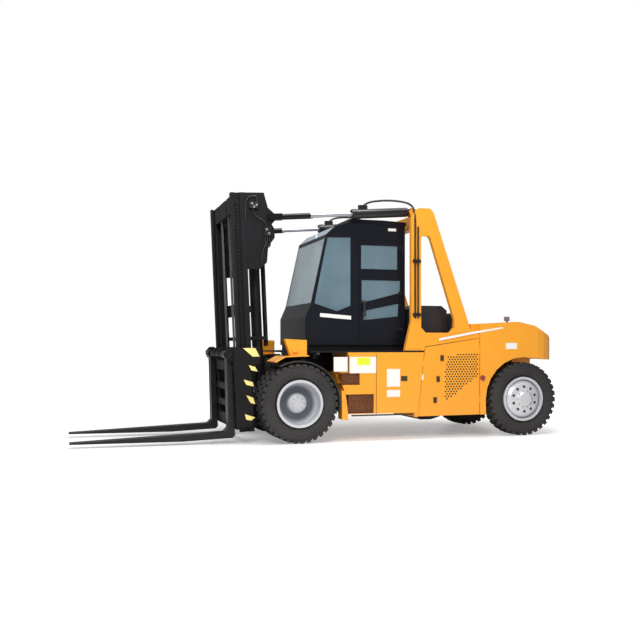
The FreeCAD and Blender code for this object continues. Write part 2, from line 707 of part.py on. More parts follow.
def cab_sides():
    outline = tied(CAB_OUTLINE) + [(V.cab_rear, 3470), (V.cab_rear, V.cab_floor_at)]
    outline[0] = (-200, V.cab_floor_at)
    side = pad("cab_side", "y", V.cab_half - V.cab_wall, V.cab_half, outline, FRONT_PANE, DOOR_HOLE)
    pieces = [side]
    for at, (low, high) in enumerate(HINGES):
        leaf = box("frame_leaf%d" % at, (-1895, HINGE_X), (V.cab_half - 1, V.cab_half + 18), (low, low + 30))
        pin = rod("hinge_pin%d" % at, "z", (HINGE_X, V.cab_half + HINGE_OUT), (low, high), 8)
        pieces += [leaf, pin]
    node_pair("cab_side", fuse("cab_side_solid", pieces))


def cab_front():
    inner = V.cab_half - V.cab_wall - V.seat_gap
    lower = [(-200, V.cab_floor_at), (-200, 1960), (-300, 2190), (-340, 2190), (-240, 1955), (-240, V.cab_floor_at)]
    header = [(-531, 3222), (-545, 3285), (-585, 3285), (-571, 3222)]
    front = pad("cab_front_lower", "y", -inner, inner, lower)
    bar = pad("cab_front_header", "y", -inner, inner, header)
    node("cab_front", group("cab_front", [front, bar]))


def cab_rear_wall():
    inner = V.cab_half - V.cab_wall - V.seat_gap
    outline = [(-inner, V.cab_floor_at), (inner, V.cab_floor_at), (inner, 3465), (-inner, 3465)]
    wall = pad("cab_rear_wall", "x", V.cab_rear, V.cab_rear + V.cab_wall, outline, REAR_PANE)
    node("cab_rear_wall", wall)


def cab_floor():
    inner = V.cab_half - V.cab_wall - V.seat_gap
    floor = box("floor_plate", (V.cab_rear + V.cab_wall + V.seat_gap, -241), (-inner, inner), (V.cab_floor_at, V.cab_floor_at + 40))
    node("cab_floor", group("cab_floor", [floor]))


def cab_roof():
    outline = [(-935, 3500.8), (-1925, 3469.7), (-1925, 3530), (-1500, 3548), (-935, 3548)]
    roof = pad("cab_roof", "y", -V.cab_half - 8, V.cab_half + 8, tied(outline))
    node("cab_roof", roof)


def cab_glass():
    inner = V.cab_half - V.cab_wall - V.seat_gap
    shield = [(-304, 2192), (-530, 3221), (-537, 3221), (-311, 2192)]
    sky = [(-552, 3291), (-703, 3427), (-930, 3495), (-930, 3487), (-706, 3419), (-560, 3288)]
    pieces = [pad("windshield", "y", -inner, inner, shield), pad("skylight", "y", -inner, inner, sky)]
    pane = pad("front_pane", "y", V.cab_half - 14, V.cab_half - 14 + V.glass, FRONT_PANE)
    pieces += both("front_pane", pane)
    pieces.append(pad("rear_pane", "x", V.cab_rear + 15, V.cab_rear + 15 + V.glass, REAR_PANE))
    node("cab_glass", group("cab_glass", pieces))


def cab_doors():
    gap = V.run_gap
    outline = [(-1100 - gap, 1590 + gap), (-1100 - gap, 3210 - gap)]
    outline += [(-1860 + gap, 3210 - gap), (-1860 + gap, 1590 + gap)]
    door = pad("cab_door", "y", V.cab_half - V.cab_wall, V.cab_half, outline, *DOOR_PANES)
    pieces = [door]
    tools = []
    for at, (low, high) in enumerate(HINGES):
        foot = low + 30 + V.seat_gap
        centre = (HINGE_X, V.cab_half + HINGE_OUT)
        pieces.append(box("door_leaf%d" % at, (HINGE_X + 4, -1800), (V.cab_half - 1, V.cab_half + 9), (foot, high)))
        pieces.append(rod("door_knuckle%d" % at, "z", centre, (foot, high), 11))
        tools.append(rod("knuckle_bore%d" % at, "z", centre, (low, high + 10), 8 + V.seat_gap))
    solid = cut("cab_door_solid", fuse("cab_door_whole", pieces), fuse("knuckle_bores", tools))
    node_pair("cab_door", solid)
    panes = []
    for at, pane in enumerate(DOOR_PANES):
        panes.append(pad("door_pane%d" % at, "y", V.cab_half - 14, V.cab_half - 14 + V.glass, pane))
    node_pair("cab_door_glass", group("cab_door_glass", panes))


def seat():
    floor = V.cab_floor_at + 40 + V.seat_gap
    base = box("seat_base", (-1500, -1130), (-190, 190), (floor, 1880))
    cushion = box("seat_cushion", (-1560, -1040), (-260, 260), (1880, 2010))
    back = pad("seat_back", "y", -250, 250, [(-1460, 2010), (-1575, 2620), (-1680, 2600), (-1570, 2000)])
    node("seat", fuse("seat", [base, cushion, back]))


def console():
    floor = V.cab_floor_at + 40 + V.seat_gap
    column = pad("column", "y", -90, 90, [(-400, floor), (-560, 2270), (-680, 2250), (-600, floor)])
    ring = doc.addObject("Part::Torus", "steering_ring")
    ring.Radius1 = 190
    ring.Radius2 = 15
    ring.Placement = Placement(Vector(-660, 0, 2340), Rotation(Vector(0, 1, 0), -20))
    hub = box("steering_hub", (-690, -600), (-180, 180), (2245, 2350))
    node("console", fuse("console", [column, hub, ring]))


def work_lamp():
    lamp = box("work_lamp_case", (-3850, -3790), (700, 790), (1925, 2000))
    foot = box("work_lamp_foot", (-3835, -3812), (730, 760), (1905, 1926))
    node("work_lamp", fuse("work_lamp", [lamp, foot]))


# Mast, drawn upright from the tilt pin

cross_back = V.rail_back
cross_front = V.rail_back + V.rail_flange
guide_back = V.rail_back + 85
guide_front = V.rail_front - 50
seat_at = 200


def guide_chain():
    """Hose guide chain in the outer recess of a rail: a strip with raised links."""
    bottom = V.mast_half - V.guide_deep
    low, high = 700, 3250
    strip = box("guide_strip", (guide_back + 20, guide_front - 12), (bottom - 2, bottom + 10), (low, high))
    links = [strip]
    count = 46
    for at in range(count):
        foot = V.guide_pitch * at + low + 15
        link = box("guide_link%d" % at, (guide_back + 26, guide_front - 18), (bottom + 5, bottom + 24), (foot, foot + 27))
        links.append(link)
    return fuse("guide_chain", links)



def outer_rails():
    """Outer channels, their crossmembers, tilt brackets and foot lugs."""
    out = V.mast_half
    side = V.mast_half - V.rail_depth
    web = V.mast_half - V.rail_web
    bottom = V.mast_half - V.guide_deep
    section = [(V.rail_back, side), (V.rail_back, out), (guide_back, out), (guide_back, bottom)]
    section += [(guide_front, bottom), (guide_front, out), (V.rail_front, out), (V.rail_front, side)]
    section += [(V.rail_front - V.rail_flange, side), (V.rail_front - V.rail_flange, web)]
    section += [(V.rail_back + V.rail_flange, web), (V.rail_back + V.rail_flange, side)]
    rail = pad("outer_rail", "z", V.rail_foot, V.rail_top, section)
    pieces = both("outer_rail", fuse("outer_rail_held", [rail, guide_chain()]))
    crossing = [
        # name, z from, z to
        ("outer_cross_low", -280, 120),
        ("outer_cross_middle", 1500, 1700),
        ("outer_cross_top", 2640, 3030),
    ]
    for name, low, high in crossing:
        pieces.append(box(name, (cross_back, cross_front), (-out, out), (low, high)))
    bracket = [(cross_front, 2200), (cross_front, V.rail_top), (-5, V.rail_top), (-60, V.tilt_lug_z + 150)]
    bracket += [(V.tilt_lug_x - 75, V.tilt_lug_z + 50), (V.tilt_lug_x - 75, V.tilt_lug_z - 50)]
    bracket += [(-110, V.tilt_lug_z - 110), (-150, 2820), (-150, 2680), (-40, 2540), (-10, 2300), (100, 2200)]
    pieces += both("tilt_bracket", pad("tilt_bracket", "y", V.tilt_at - 15, V.tilt_at + 15, bracket))
    lug = [(cross_front, 110), (150, 100), (-60, 75), (-85, 0), (-60, -70), (60, -85), (cross_front, -270)]
    foot = pad("foot_lug", "y", 380, 420, lug)
    hole = rod("foot_bore", "y", (0, 0), (300, 500), V.pivot_radius + V.seat_gap)
    pieces += both("foot_lug_bored", cut("foot_lug_bored", foot, hole))
    seat_plate = box("lift_seat", (V.lift_x - 80, cross_front), (V.lift_at - 85, V.lift_at + 78), (seat_at, seat_at + 20))
    rib = box("lift_seat_rib", (cross_back, cross_front), (V.lift_at - 85, V.lift_at + 78), (100, seat_at + 1))
    pieces += both("lift_seat", fuse("lift_seat_held", [seat_plate, rib]))
    anchor = box("chain_anchor", (115, cross_back + 5), (V.chain_at - 38, V.chain_at + 38), (2690, 2760 - V.seat_gap))
    pieces += both("chain_anchor", anchor)
    pipes = []
    for name, at in (("pipe_in", V.lift_at - 45), ("pipe_out", V.lift_at + 25)):
        pipes.append(rod(name, "z", (-50, at), (1000, 2580), 28))
    for name, level in (("pipe_clip_low", 1100), ("pipe_clip_high", 2400)):
        pipes.append(box(name, (-60, cross_back + 5), (V.lift_at + 86, V.lift_at + 98), (level, level + 60)))
        pipes.append(box(name + "_bar", (-60, -40), (V.lift_at - 60, V.lift_at + 98), (level, level + 60)))
    for name, level in (("clip_cross_low", 1100), ("clip_cross_high", 2400)):
        pieces.append(box(name, (cross_back, cross_front), (-out, out), (level, level + 60)))
    pieces += both("lift_pipes", fuse("lift_pipes", pipes))
    whole = fuse("outer_mast", pieces)
    node("outer_mast", whole, "mast")


def lift_cylinders():
    """Standing barrels, open at the top for their rods."""
    low = seat_at + 20 + V.seat_gap
    barrel = rod("lift_barrel", "z", (V.lift_x, V.lift_at), (low, 2560), V.lift_radius)
    gland = rod("lift_gland", "z", (V.lift_x, V.lift_at), (2500, 2600), V.lift_radius + 10)
    bore = rod("lift_bore", "z", (V.lift_x, V.lift_at), (320, 2700), V.lift_rod + V.seat_gap)
    barrel_all = cut("lift_cylinder", fuse("lift_solid", [barrel, gland]), bore)
    clamp = box("lift_clamp", (V.lift_x + 30, cross_back - V.seat_gap), (V.lift_at - 50, V.lift_at + 50), (1550, 1650))
    clamp_bore = rod("clamp_bore", "z", (V.lift_x, V.lift_at), (1500, 1700), V.lift_radius - 5)
    held = fuse("lift_held", [barrel_all, cut("clamp_cut", clamp, clamp_bore)])
    node("lift_cylinders", group("lift_cylinders", both("lift_held", held)), "mast")


def lift_rods():
    piece = rod("lift_rod", "z", (V.lift_x, V.lift_at), (330, 3100 - V.seat_gap), V.lift_rod)
    node("lift_rods", group("lift_rods", both("lift_rod", piece)), "mast")


def inner_mast():
    """Inner I-rails, crosshead on the lift rods and lower tie."""
    gap = V.run_gap
    back = V.rail_back + V.rail_flange + gap
    front = V.rail_front - V.rail_flange - gap
    out = V.mast_half - V.rail_web - 10
    side = out - V.inner_depth
    web_in = side + 70
    web_out = side + 95
    section = [(back, side), (back, out), (back + V.inner_flange, out), (back + V.inner_flange, web_out)]
    section += [(front - V.inner_flange, web_out), (front - V.inner_flange, out), (front, out), (front, side)]
    section += [(front - V.inner_flange, side), (front - V.inner_flange, web_in)]
    section += [(back + V.inner_flange, web_in), (back + V.inner_flange, side)]
    rail = pad("inner_rail", "z", V.rail_foot + 20, V.rail_top - 20, section)
    pieces = both("inner_rail", rail)
    head = box("crosshead", (back, front), (-side - 20, side + 20), (3100, V.rail_top - 20))
    pocket = box("sheave_pocket", (120, V.rail_front + 60), (V.chain_at - 45, V.chain_at + 45), (3000, 3400))
    slots = fuse("sheave_pockets", both("sheave_pocket", pocket))
    arm = box("rod_arm", (V.lift_x - 70, back + 20), (V.lift_at - 60, V.lift_at + 60), (3100, 3180))
    pieces += both("rod_arm", arm)
    pieces.append(cut("crosshead_cut", head, slots))
    tie_bar = box("inner_tie", (back, back + V.inner_flange), (-side - 20, side + 20), (-260, 0))
    pieces.append(tie_bar)
    middle = (back + front) / 2
    sheave = rod("sheave", "y", (middle - 110, 3180), (V.chain_at - 38, V.chain_at + 38), V.sheave_radius - V.chain_thick / 2 - 3)
    axle = rod("sheave_axle", "y", (middle - 110, 3180), (V.chain_at - 46, V.chain_at + 46), 25)
    pieces += both("sheave_axle", fuse("sheave_and_axle", [sheave, axle]))
    for name, inner in (("cheek_in", -60), ("cheek_out", 44)):
        cheek = box(name, (middle - 170, back + 20), (V.chain_at + inner, V.chain_at + inner + 16), (3130, 3260))
        pieces += both(name, cheek)
    node("inner_mast", fuse("inner_mast", pieces), "mast")


def lift_chains():
    """Leaf chains over the sheaves: rear run, wrap and front run."""
    middle = (V.rail_back + V.rail_front) / 2
    centre_x = middle - 110
    centre_z = 3180
    half = V.chain_thick / 2
    low_front = chain_foot
    low_rear = 2760
    steps = 10
    outer = []
    inner = []
    for step in range(steps + 1):
        angle = 180.0 * step / steps
        for line, radius in ((outer, V.sheave_radius + half), (inner, V.sheave_radius - half)):
            line.append((centre_x + radius * cosine(angle), centre_z + radius * sine(angle)))
    outline = [(centre_x + V.sheave_radius + half, low_front)] + outer
    outline += [(centre_x - V.sheave_radius - half, low_rear), (centre_x - V.sheave_radius + half, low_rear)]
    outline += list(reversed(inner)) + [(centre_x + V.sheave_radius - half, low_front)]
    chain = pad("lift_chain", "y", V.chain_at - V.chain_wide / 2, V.chain_at + V.chain_wide / 2, outline)
    node("lift_chains", group("lift_chains", both("lift_chain", chain)), "mast")


# Carriage and forks


chain_foot = V.carriage_top - 60
chain_front = (V.rail_back + V.rail_front) / 2 - 110 + V.sheave_radius


def carriage():
    """Bars, uprights, fork shaft and the roller arms that run in the inner rails."""
    back = V.carriage_back
    front = V.carriage_back + V.carriage_bar
    half = V.carriage_half - 30
    pieces = []
    bars = [
        # name, z from, z to
        ("bar_low", -250, -60),
        ("bar_second", 60, 160),
        ("bar_third", 330, 430),
        ("bar_top", 640, 800),
    ]
    for name, low, high in bars:
        pieces.append(box(name, (back, front), (-half, half), (low, high)))
    for name, at in (("upright_in", 500), ("upright_out", 955)):
        upright = box(name, (back, front), (at - 30, at + 30), (V.carriage_low, V.carriage_top))
        pieces += both(name, upright)
    for name, at in (("shaft_cheek_in", 200), ("shaft_cheek_out", 955)):
        cheek = [(back, 780), (front, 780), (front + 90, V.shaft_z - 60), (front + 110, V.shaft_z + 40)]
        cheek += [(front + 40, V.carriage_top), (back, V.carriage_top)]
        plate = pad(name, "y", at - 15, at + 15, cheek)
        pieces += both(name, plate)
    shaft_x = front + V.fork_thick / 2
    pieces.append(rod("fork_shaft", "y", (shaft_x, V.shaft_z), (-V.carriage_half + 30, V.carriage_half - 30), V.shaft_radius))
    inner_side = V.mast_half - V.rail_web - 10 - V.inner_depth
    middle = (V.rail_back + V.rail_front) / 2
    track = V.rail_front - V.rail_back - V.rail_flange * 2 - V.run_gap * 2 - V.inner_flange * 2
    arm = box("roller_arm", (middle - 35, back + 10), (inner_side - 45, inner_side - 15), (-180, 640))
    pieces += both("roller_arm", arm)
    lug = box("chain_lug", (chain_front - 16, back + 10), (V.chain_at - 35, V.chain_at + 35), (chain_foot - 70, chain_foot - V.seat_gap))
    pieces += both("chain_lug", lug)
    for name, level in (("roller_low", -110), ("roller_high", 560)):
        roller = rod(name, "y", (middle, level), (inner_side - 20, inner_side + 62), track / 2 - 4)
        pieces += both(name, roller)
    node("carriage", fuse("carriage", pieces), "mast")


def carriage_plates():
    """Striped side plates of the carriage."""
    back = V.carriage_back
    outline = [(back + V.carriage_bar, V.carriage_low + 30), (back + V.carriage_bar, V.carriage_top - 20), (180, V.carriage_top - 20)]
    outline += [(200, 760), (330, 640), (330, -150), (380, V.carriage_low + 30)]
    side = pad("carriage_plate", "y", V.carriage_half - 30 + V.seat_gap, V.carriage_half, outline)
    node("carriage_plates", group("carriage_plates", both("carriage_plate", side)), "mast")


def forks():
    """L-shaped forks with a tapered blade and an eye on the shaft."""
    front = V.carriage_back + V.carriage_bar
    back = front + V.seat_gap
    shank = back + V.fork_thick - V.seat_gap
    low = V.blade_top - V.fork_thick
    tip = fork_tip_x
    outline = [(back, low + 40), (back + 40, low), (shank + 700, low), (tip, V.blade_top - V.fork_tip_thick)]
    outline += [(tip, V.blade_top), (shank + 60, V.blade_top), (shank, V.blade_top + 60), (shank - 20, V.shaft_z - 40)]
    outline += [(back, V.shaft_z - 40)]
    blade = pad("fork_blade", "y", V.fork_at - V.fork_wide / 2, V.fork_at + V.fork_wide / 2, outline)
    shaft_x = front + V.fork_thick / 2
    eye = rod("fork_eye", "y", (shaft_x + 14, V.shaft_z), (V.fork_at - V.fork_wide / 2, V.fork_at + V.fork_wide / 2), V.shaft_radius + 18)
    bore = rod("fork_bore", "y", (shaft_x, V.shaft_z), (0, 1500), V.shaft_radius + V.seat_gap)
    node_pair("fork", cut("fork", fuse("fork_solid", [blade, eye]), bore), "mast")


# Tilt cylinders, drawn along X from the rear pin


def tilt_cylinders():
    at = V.tilt_at
    eye = rod("barrel_eye", "y", (0, 0), (at - 29, at + 29), V.tilt_pin + 32)
    barrel = rod("barrel_tube", "x", (at, 0), (84, V.tilt_long), V.tilt_barrel)
    neck = box("barrel_neck", (35, 90), (at - 29, at + 29), (-48, 48))
    collar = rod("barrel_collar", "x", (at, 0), (V.tilt_long - 90, V.tilt_long - 20), V.tilt_barrel + 8)
    solid = fuse("barrel_solid", [eye, neck, barrel, collar])
    bore = rod("barrel_bore", "x", (at, 0), (96, V.tilt_long - 40), V.tilt_bore)
    mouth = rod("barrel_mouth", "x", (at, 0), (500, V.tilt_long + 10), V.tilt_rod + V.seat_gap)
    pin = rod("barrel_pin", "y", (0, 0), (at - 60, at + 60), V.tilt_pin + V.seat_gap)
    tools = fuse("barrel_tools", [bore, mouth, pin])
    node_pair("tilt_barrel", cut("tilt_barrel", solid, tools), "tilt")
    end = tilt_reach
    bar = rod("tilt_rod_bar", "x", (at, 0), (758, end - 150), V.tilt_rod)
    piston = rod("tilt_piston", "x", (at, 0), (758, 795), V.tilt_bore - V.seat_gap)
    sleeve = rod("tilt_sleeve", "x", (at, 0), (1690, end - 130), V.tilt_rod + 14)
    bridge = box("clevis_bridge", (end - 190, end - 130), (at - 52, at + 52), (-50, 50))
    pieces = [bar, piston, sleeve, bridge]
    for name, inner in (("clevis_in", -52), ("clevis_out", 22)):
        cheek = box(name, (end - 140, end + 55), (at + inner, at + inner + 30), (-50, 50))
        pieces.append(cheek)
    for name, inner in (("clevis_head_in", -64), ("clevis_head_out", 50)):
        pieces.append(rod(name, "y", (end, 0), (at + inner, at + inner + 14), V.tilt_pin + 8))
    node_pair("tilt_rod", fuse("tilt_rod", pieces), "tilt")


drive_tyres()
drive_rim()
steer_wheel()
knuckle()
steer_axle()
drive_axle()
main_frame()
counterweight()
engine_doors()
side_boxes()
boarding_steps()
wheel_guards()
fender_brackets()
deck()
engine_block()
engine_cover()
hood()
belly_tank()
tilt_frame()
cab_sides()
cab_front()
cab_rear_wall()
cab_floor()
cab_roof()
cab_glass()
cab_doors()
seat()
console()
work_lamp()
outer_rails()
lift_cylinders()
lift_rods()
inner_mast()
lift_chains()
carriage()
carriage_plates()
forks()
tilt_cylinders()
doc.recompute()

for item in doc.Objects:
    if "Invalid" in item.State or "Error" in item.State:
        raise RuntimeError("%s did not build" % item.Name)
for item in nodes:
    if item.Shape.isNull() or not item.Shape.isValid():
        raise RuntimeError("%s has no valid shape" % item.Label)
    item.Shape.exportStep("parts/%s.step" % item.Label)
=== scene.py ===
import math

import bpy
from mathutils import Matrix, Vector


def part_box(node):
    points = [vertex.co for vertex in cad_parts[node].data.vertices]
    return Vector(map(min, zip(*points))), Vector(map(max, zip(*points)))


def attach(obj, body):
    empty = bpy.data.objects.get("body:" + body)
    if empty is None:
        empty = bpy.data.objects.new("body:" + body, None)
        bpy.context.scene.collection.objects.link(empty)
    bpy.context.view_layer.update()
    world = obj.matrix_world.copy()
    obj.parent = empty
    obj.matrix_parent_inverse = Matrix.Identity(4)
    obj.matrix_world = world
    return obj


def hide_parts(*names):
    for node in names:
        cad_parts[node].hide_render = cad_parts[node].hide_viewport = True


# Looks of the diesel forklift. Metres, +X to the fork tips, +Y to the left side.

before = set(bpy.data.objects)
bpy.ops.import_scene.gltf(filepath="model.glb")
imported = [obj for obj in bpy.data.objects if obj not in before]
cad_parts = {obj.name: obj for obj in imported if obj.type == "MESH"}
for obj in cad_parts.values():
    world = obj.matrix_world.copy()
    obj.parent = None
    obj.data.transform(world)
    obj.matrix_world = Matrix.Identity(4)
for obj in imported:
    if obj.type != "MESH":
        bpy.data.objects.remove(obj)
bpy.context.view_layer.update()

WHEEL_RADIUS = 0.613
WHEELBASE = 3.9
TYRE_WIDTH = 0.315
SIDES = (("left", 1), ("right", -1))


def shown_box(name):
    """Low and high corner of a CAD node, as two vectors."""
    low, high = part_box(name)
    return Vector(low), Vector(high)


drive_low, drive_high = shown_box("drive_tyres_left")
DRIVE_X = (drive_low.x + drive_high.x) / 2
STEER_X = DRIVE_X - WHEELBASE

# Faces that thin pieces lie on, as distances from the middle plane
BODY_FACE = 1.15
DOOR_FACE = 1.13
CAB_FACE = 0.82
CAB_DOOR_FACE = 0.823
DRIVE_HUB_FACE = shown_box("drive_rims_left")[1].y - 0.1375
STEER_STUD_FACE = shown_box("steer_rim_left")[1].y - 0.030
STEER_HOLE_FACE = shown_box("steer_rim_left")[1].y - 0.0525

# Materials

MIX_FACTOR, MIX_FIRST, MIX_SECOND, MIX_RESULT = 0, 6, 7, 2
BROAD_NOISE = 2.3
GLASS_NOISE = 0.9
FLOOR_NOISE = 1.5
NOISE_DETAIL = 4.0


def new_material(name):
    """A node material with its nodes and links."""
    material = bpy.data.materials.new(name)
    material.use_nodes = True
    return material, material.node_tree.nodes, material.node_tree.links


def add_noise(nodes, links, scale):
    """Noise over the object's own place, as a 0..1 output."""
    place = nodes.new("ShaderNodeTexCoord")
    noise = nodes.new("ShaderNodeTexNoise")
    noise.inputs["Scale"].default_value = scale
    noise.inputs["Detail"].default_value = NOISE_DETAIL
    links.new(place.outputs["Object"], noise.inputs["Vector"])
    return noise.outputs["Fac"]


def ranged(nodes, links, source, from_low, from_high, to_low, to_high):
    """Map an output from one range to another."""
    node = nodes.new("ShaderNodeMapRange")
    node.inputs["From Min"].default_value = from_low
    node.inputs["From Max"].default_value = from_high
    node.inputs["To Min"].default_value = to_low
    node.inputs["To Max"].default_value = to_high
    links.new(source, node.inputs["Value"])
    return node.outputs["Result"]


def spread(nodes, links, noise, low, high):
    """Map the middle of a noise to a range."""
    return ranged(nodes, links, noise, 0.3, 0.7, low, high)


def tinted(nodes, links, factor, first, second):
    """Mix two colours by an output."""
    mix = nodes.new("ShaderNodeMix")
    mix.data_type = "RGBA"
    mix.inputs[MIX_FIRST].default_value = (*first, 1)
    mix.inputs[MIX_SECOND].default_value = (*second, 1)
    links.new(factor, mix.inputs[MIX_FACTOR])
    return mix.outputs[MIX_RESULT]


def multiplied(nodes, links, first, second):
    """Multiply two colour outputs."""
    mix = nodes.new("ShaderNodeMix")
    mix.data_type = "RGBA"
    mix.blend_type = "MULTIPLY"
    mix.inputs[MIX_FACTOR].default_value = 1.0
    links.new(first, mix.inputs[MIX_FIRST])
    links.new(second, mix.inputs[MIX_SECOND])
    return mix.outputs[MIX_RESULT]


def calc(nodes, links, operation, *values):
    """A Math node on outputs and numbers."""
    node = nodes.new("ShaderNodeMath")
    node.operation = operation
    for socket, value in zip(node.inputs, values):
        if isinstance(value, (int, float)):
            socket.default_value = value
        else:
            links.new(value, socket)
    return node.outputs[0]


def object_place(nodes, links):
    """The object's own coordinates, split by axis."""
    place = nodes.new("ShaderNodeTexCoord")
    split = nodes.new("ShaderNodeSeparateXYZ")
    links.new(place.outputs["Object"], split.inputs[0])
    return split.outputs


def paint_where(material, factor, colour):
    """Lay a second colour over a material where factor is 1."""
    nodes = material.node_tree.nodes
    links = material.node_tree.links
    shader = nodes["Principled BSDF"]
    mix = nodes.new("ShaderNodeMix")
    mix.data_type = "RGBA"
    links.new(factor, mix.inputs[MIX_FACTOR])
    links.new(shader.inputs["Base Color"].links[0].from_socket, mix.inputs[MIX_FIRST])
    mix.inputs[MIX_SECOND].default_value = (*colour, 1)
    links.new(mix.outputs[MIX_RESULT], shader.inputs["Base Color"])


def shade(colour, factor):
    """A colour made lighter or darker, kept below 1."""
    return tuple(min(1.0, channel * factor) for channel in colour)


def surface(name, colour, roughness, metallic=0.0, coat=0.0, change=0.06, bump=0.05, grain=60.0,
            round_edge=0.0, specular=0.5):
    """A finish with mottled colour and roughness, fine bump and optional soft edges."""
    material, nodes, links = new_material(name)
    shader = nodes["Principled BSDF"]
    broad = spread(nodes, links, add_noise(nodes, links, BROAD_NOISE), 0, 1)
    mottled = tinted(nodes, links, broad, shade(colour, 1 - change), shade(colour, 1 + change))
    links.new(mottled, shader.inputs["Base Color"])
    fine = add_noise(nodes, links, grain)
    links.new(spread(nodes, links, fine, roughness * 0.85, roughness * 1.15), shader.inputs["Roughness"])
    shader.inputs["Metallic"].default_value = metallic
    shader.inputs["Specular IOR Level"].default_value = specular
    shader.inputs["Coat Weight"].default_value = coat
    shader.inputs["Coat Roughness"].default_value = 0.08
    relief = nodes.new("ShaderNodeBump")
    relief.inputs["Strength"].default_value = bump
    relief.inputs["Distance"].default_value = 0.002
    links.new(fine, relief.inputs["Height"])
    if round_edge:
        soft = nodes.new("ShaderNodeBevel")
        soft.samples = 4
        soft.inputs["Radius"].default_value = round_edge
        links.new(soft.outputs["Normal"], relief.inputs["Normal"])
    links.new(relief.outputs["Normal"], shader.inputs["Normal"])
    return material


def sleeved_rod(name):
    """Bright rod whose front stretch, by the clevis, is painted black."""
    material = surface(name, (0.42, 0.43, 0.47), 0.3, metallic=0.6, change=0.1)
    nodes = material.node_tree.nodes
    links = material.node_tree.links
    sleeve_start = DRIVE_X - 0.25
    ahead = calc(nodes, links, "GREATER_THAN", object_place(nodes, links)["X"], sleeve_start)
    paint_where(material, ahead, (0.012, 0.011, 0.012))
    return material


def rim_with_painted_shade(name, colour, deep, inner, outer):
    """Drive wheel paint with painted shade: darker on a band between two radii, the wheel's dish between hub
    and lip.
    """
    material = surface(name, colour, 0.35, metallic=0.25, change=0.07, round_edge=0.004)
    nodes = material.node_tree.nodes
    links = material.node_tree.links
    place = object_place(nodes, links)
    squares = []
    for axis, middle in (("X", DRIVE_X), ("Z", WHEEL_RADIUS)):
        away = calc(nodes, links, "SUBTRACT", place[axis], middle)
        squares.append(calc(nodes, links, "MULTIPLY", away, away))
    radius = calc(nodes, links, "SQRT", calc(nodes, links, "ADD", *squares))
    ramp = nodes.new("ShaderNodeValToRGB")
    stops = ramp.color_ramp.elements
    for stop, position in zip(stops, (inner, outer)):
        stop.position = position
        stop.color = (1, 1, 1, 1)
    # The dark stops between the two radii are painted shade in the wheel's dish.
    for position in (inner + 0.02, outer - 0.08):
        stops.new(position).color = (*deep, 1)
    links.new(radius, ramp.inputs["Fac"])
    base = nodes["Principled BSDF"].inputs["Base Color"]
    links.new(multiplied(nodes, links, base.links[0].from_socket, ramp.outputs["Color"]), base)
    return material


def perforated(name, sheet, hole_shade_colour, pitch):
    """Sheet with rows of round holes, painted dark from the cells of a grid: painted shade seen through the
    holes.
    """
    material = surface(name, sheet, 0.5, metallic=0.2, change=0.3)
    nodes = material.node_tree.nodes
    links = material.node_tree.links
    place = nodes.new("ShaderNodeTexCoord")
    cells = nodes.new("ShaderNodeTexVoronoi")
    cells.inputs["Scale"].default_value = 1 / pitch
    cells.inputs["Randomness"].default_value = 0.12
    links.new(place.outputs["Object"], cells.inputs["Vector"])
    hole_share = 0.34
    # The dark cells are painted shade standing for the holes.
    paint_where(material, calc(nodes, links, "LESS_THAN", cells.outputs["Distance"], hole_share), hole_shade_colour)
    return material


def window_glass(name, side_shaded_colour, front_lit_colour, alpha):
    """Pane with light painted in: paler where it faces forward or up, a painted reflection of the white
    surroundings, and darker where it faces sideways.
    """
    material, nodes, links = new_material(name)
    shader = nodes["Principled BSDF"]
    broad = add_noise(nodes, links, GLASS_NOISE)
    shape = nodes.new("ShaderNodeNewGeometry")
    split = nodes.new("ShaderNodeSeparateXYZ")
    links.new(shape.outputs["True Normal"], split.inputs[0])
    sideways = calc(nodes, links, "GREATER_THAN", calc(nodes, links, "ABSOLUTE", split.outputs["Y"]), 0.6)
    # Forward and upward faces take the paler colour as a painted reflection; sideways faces take the darker
    # one.
    tint = tinted(nodes, links, sideways, front_lit_colour, side_shaded_colour)
    mottle = tinted(nodes, links, spread(nodes, links, broad, 0, 1), (0.8, 0.8, 0.8), (1, 1, 1))
    links.new(multiplied(nodes, links, tint, mottle), shader.inputs["Base Color"])
    links.new(spread(nodes, links, broad, 0.03, 0.07), shader.inputs["Roughness"])
    shader.inputs["Alpha"].default_value = alpha
    shader.inputs["IOR"].default_value = 1.5
    return material


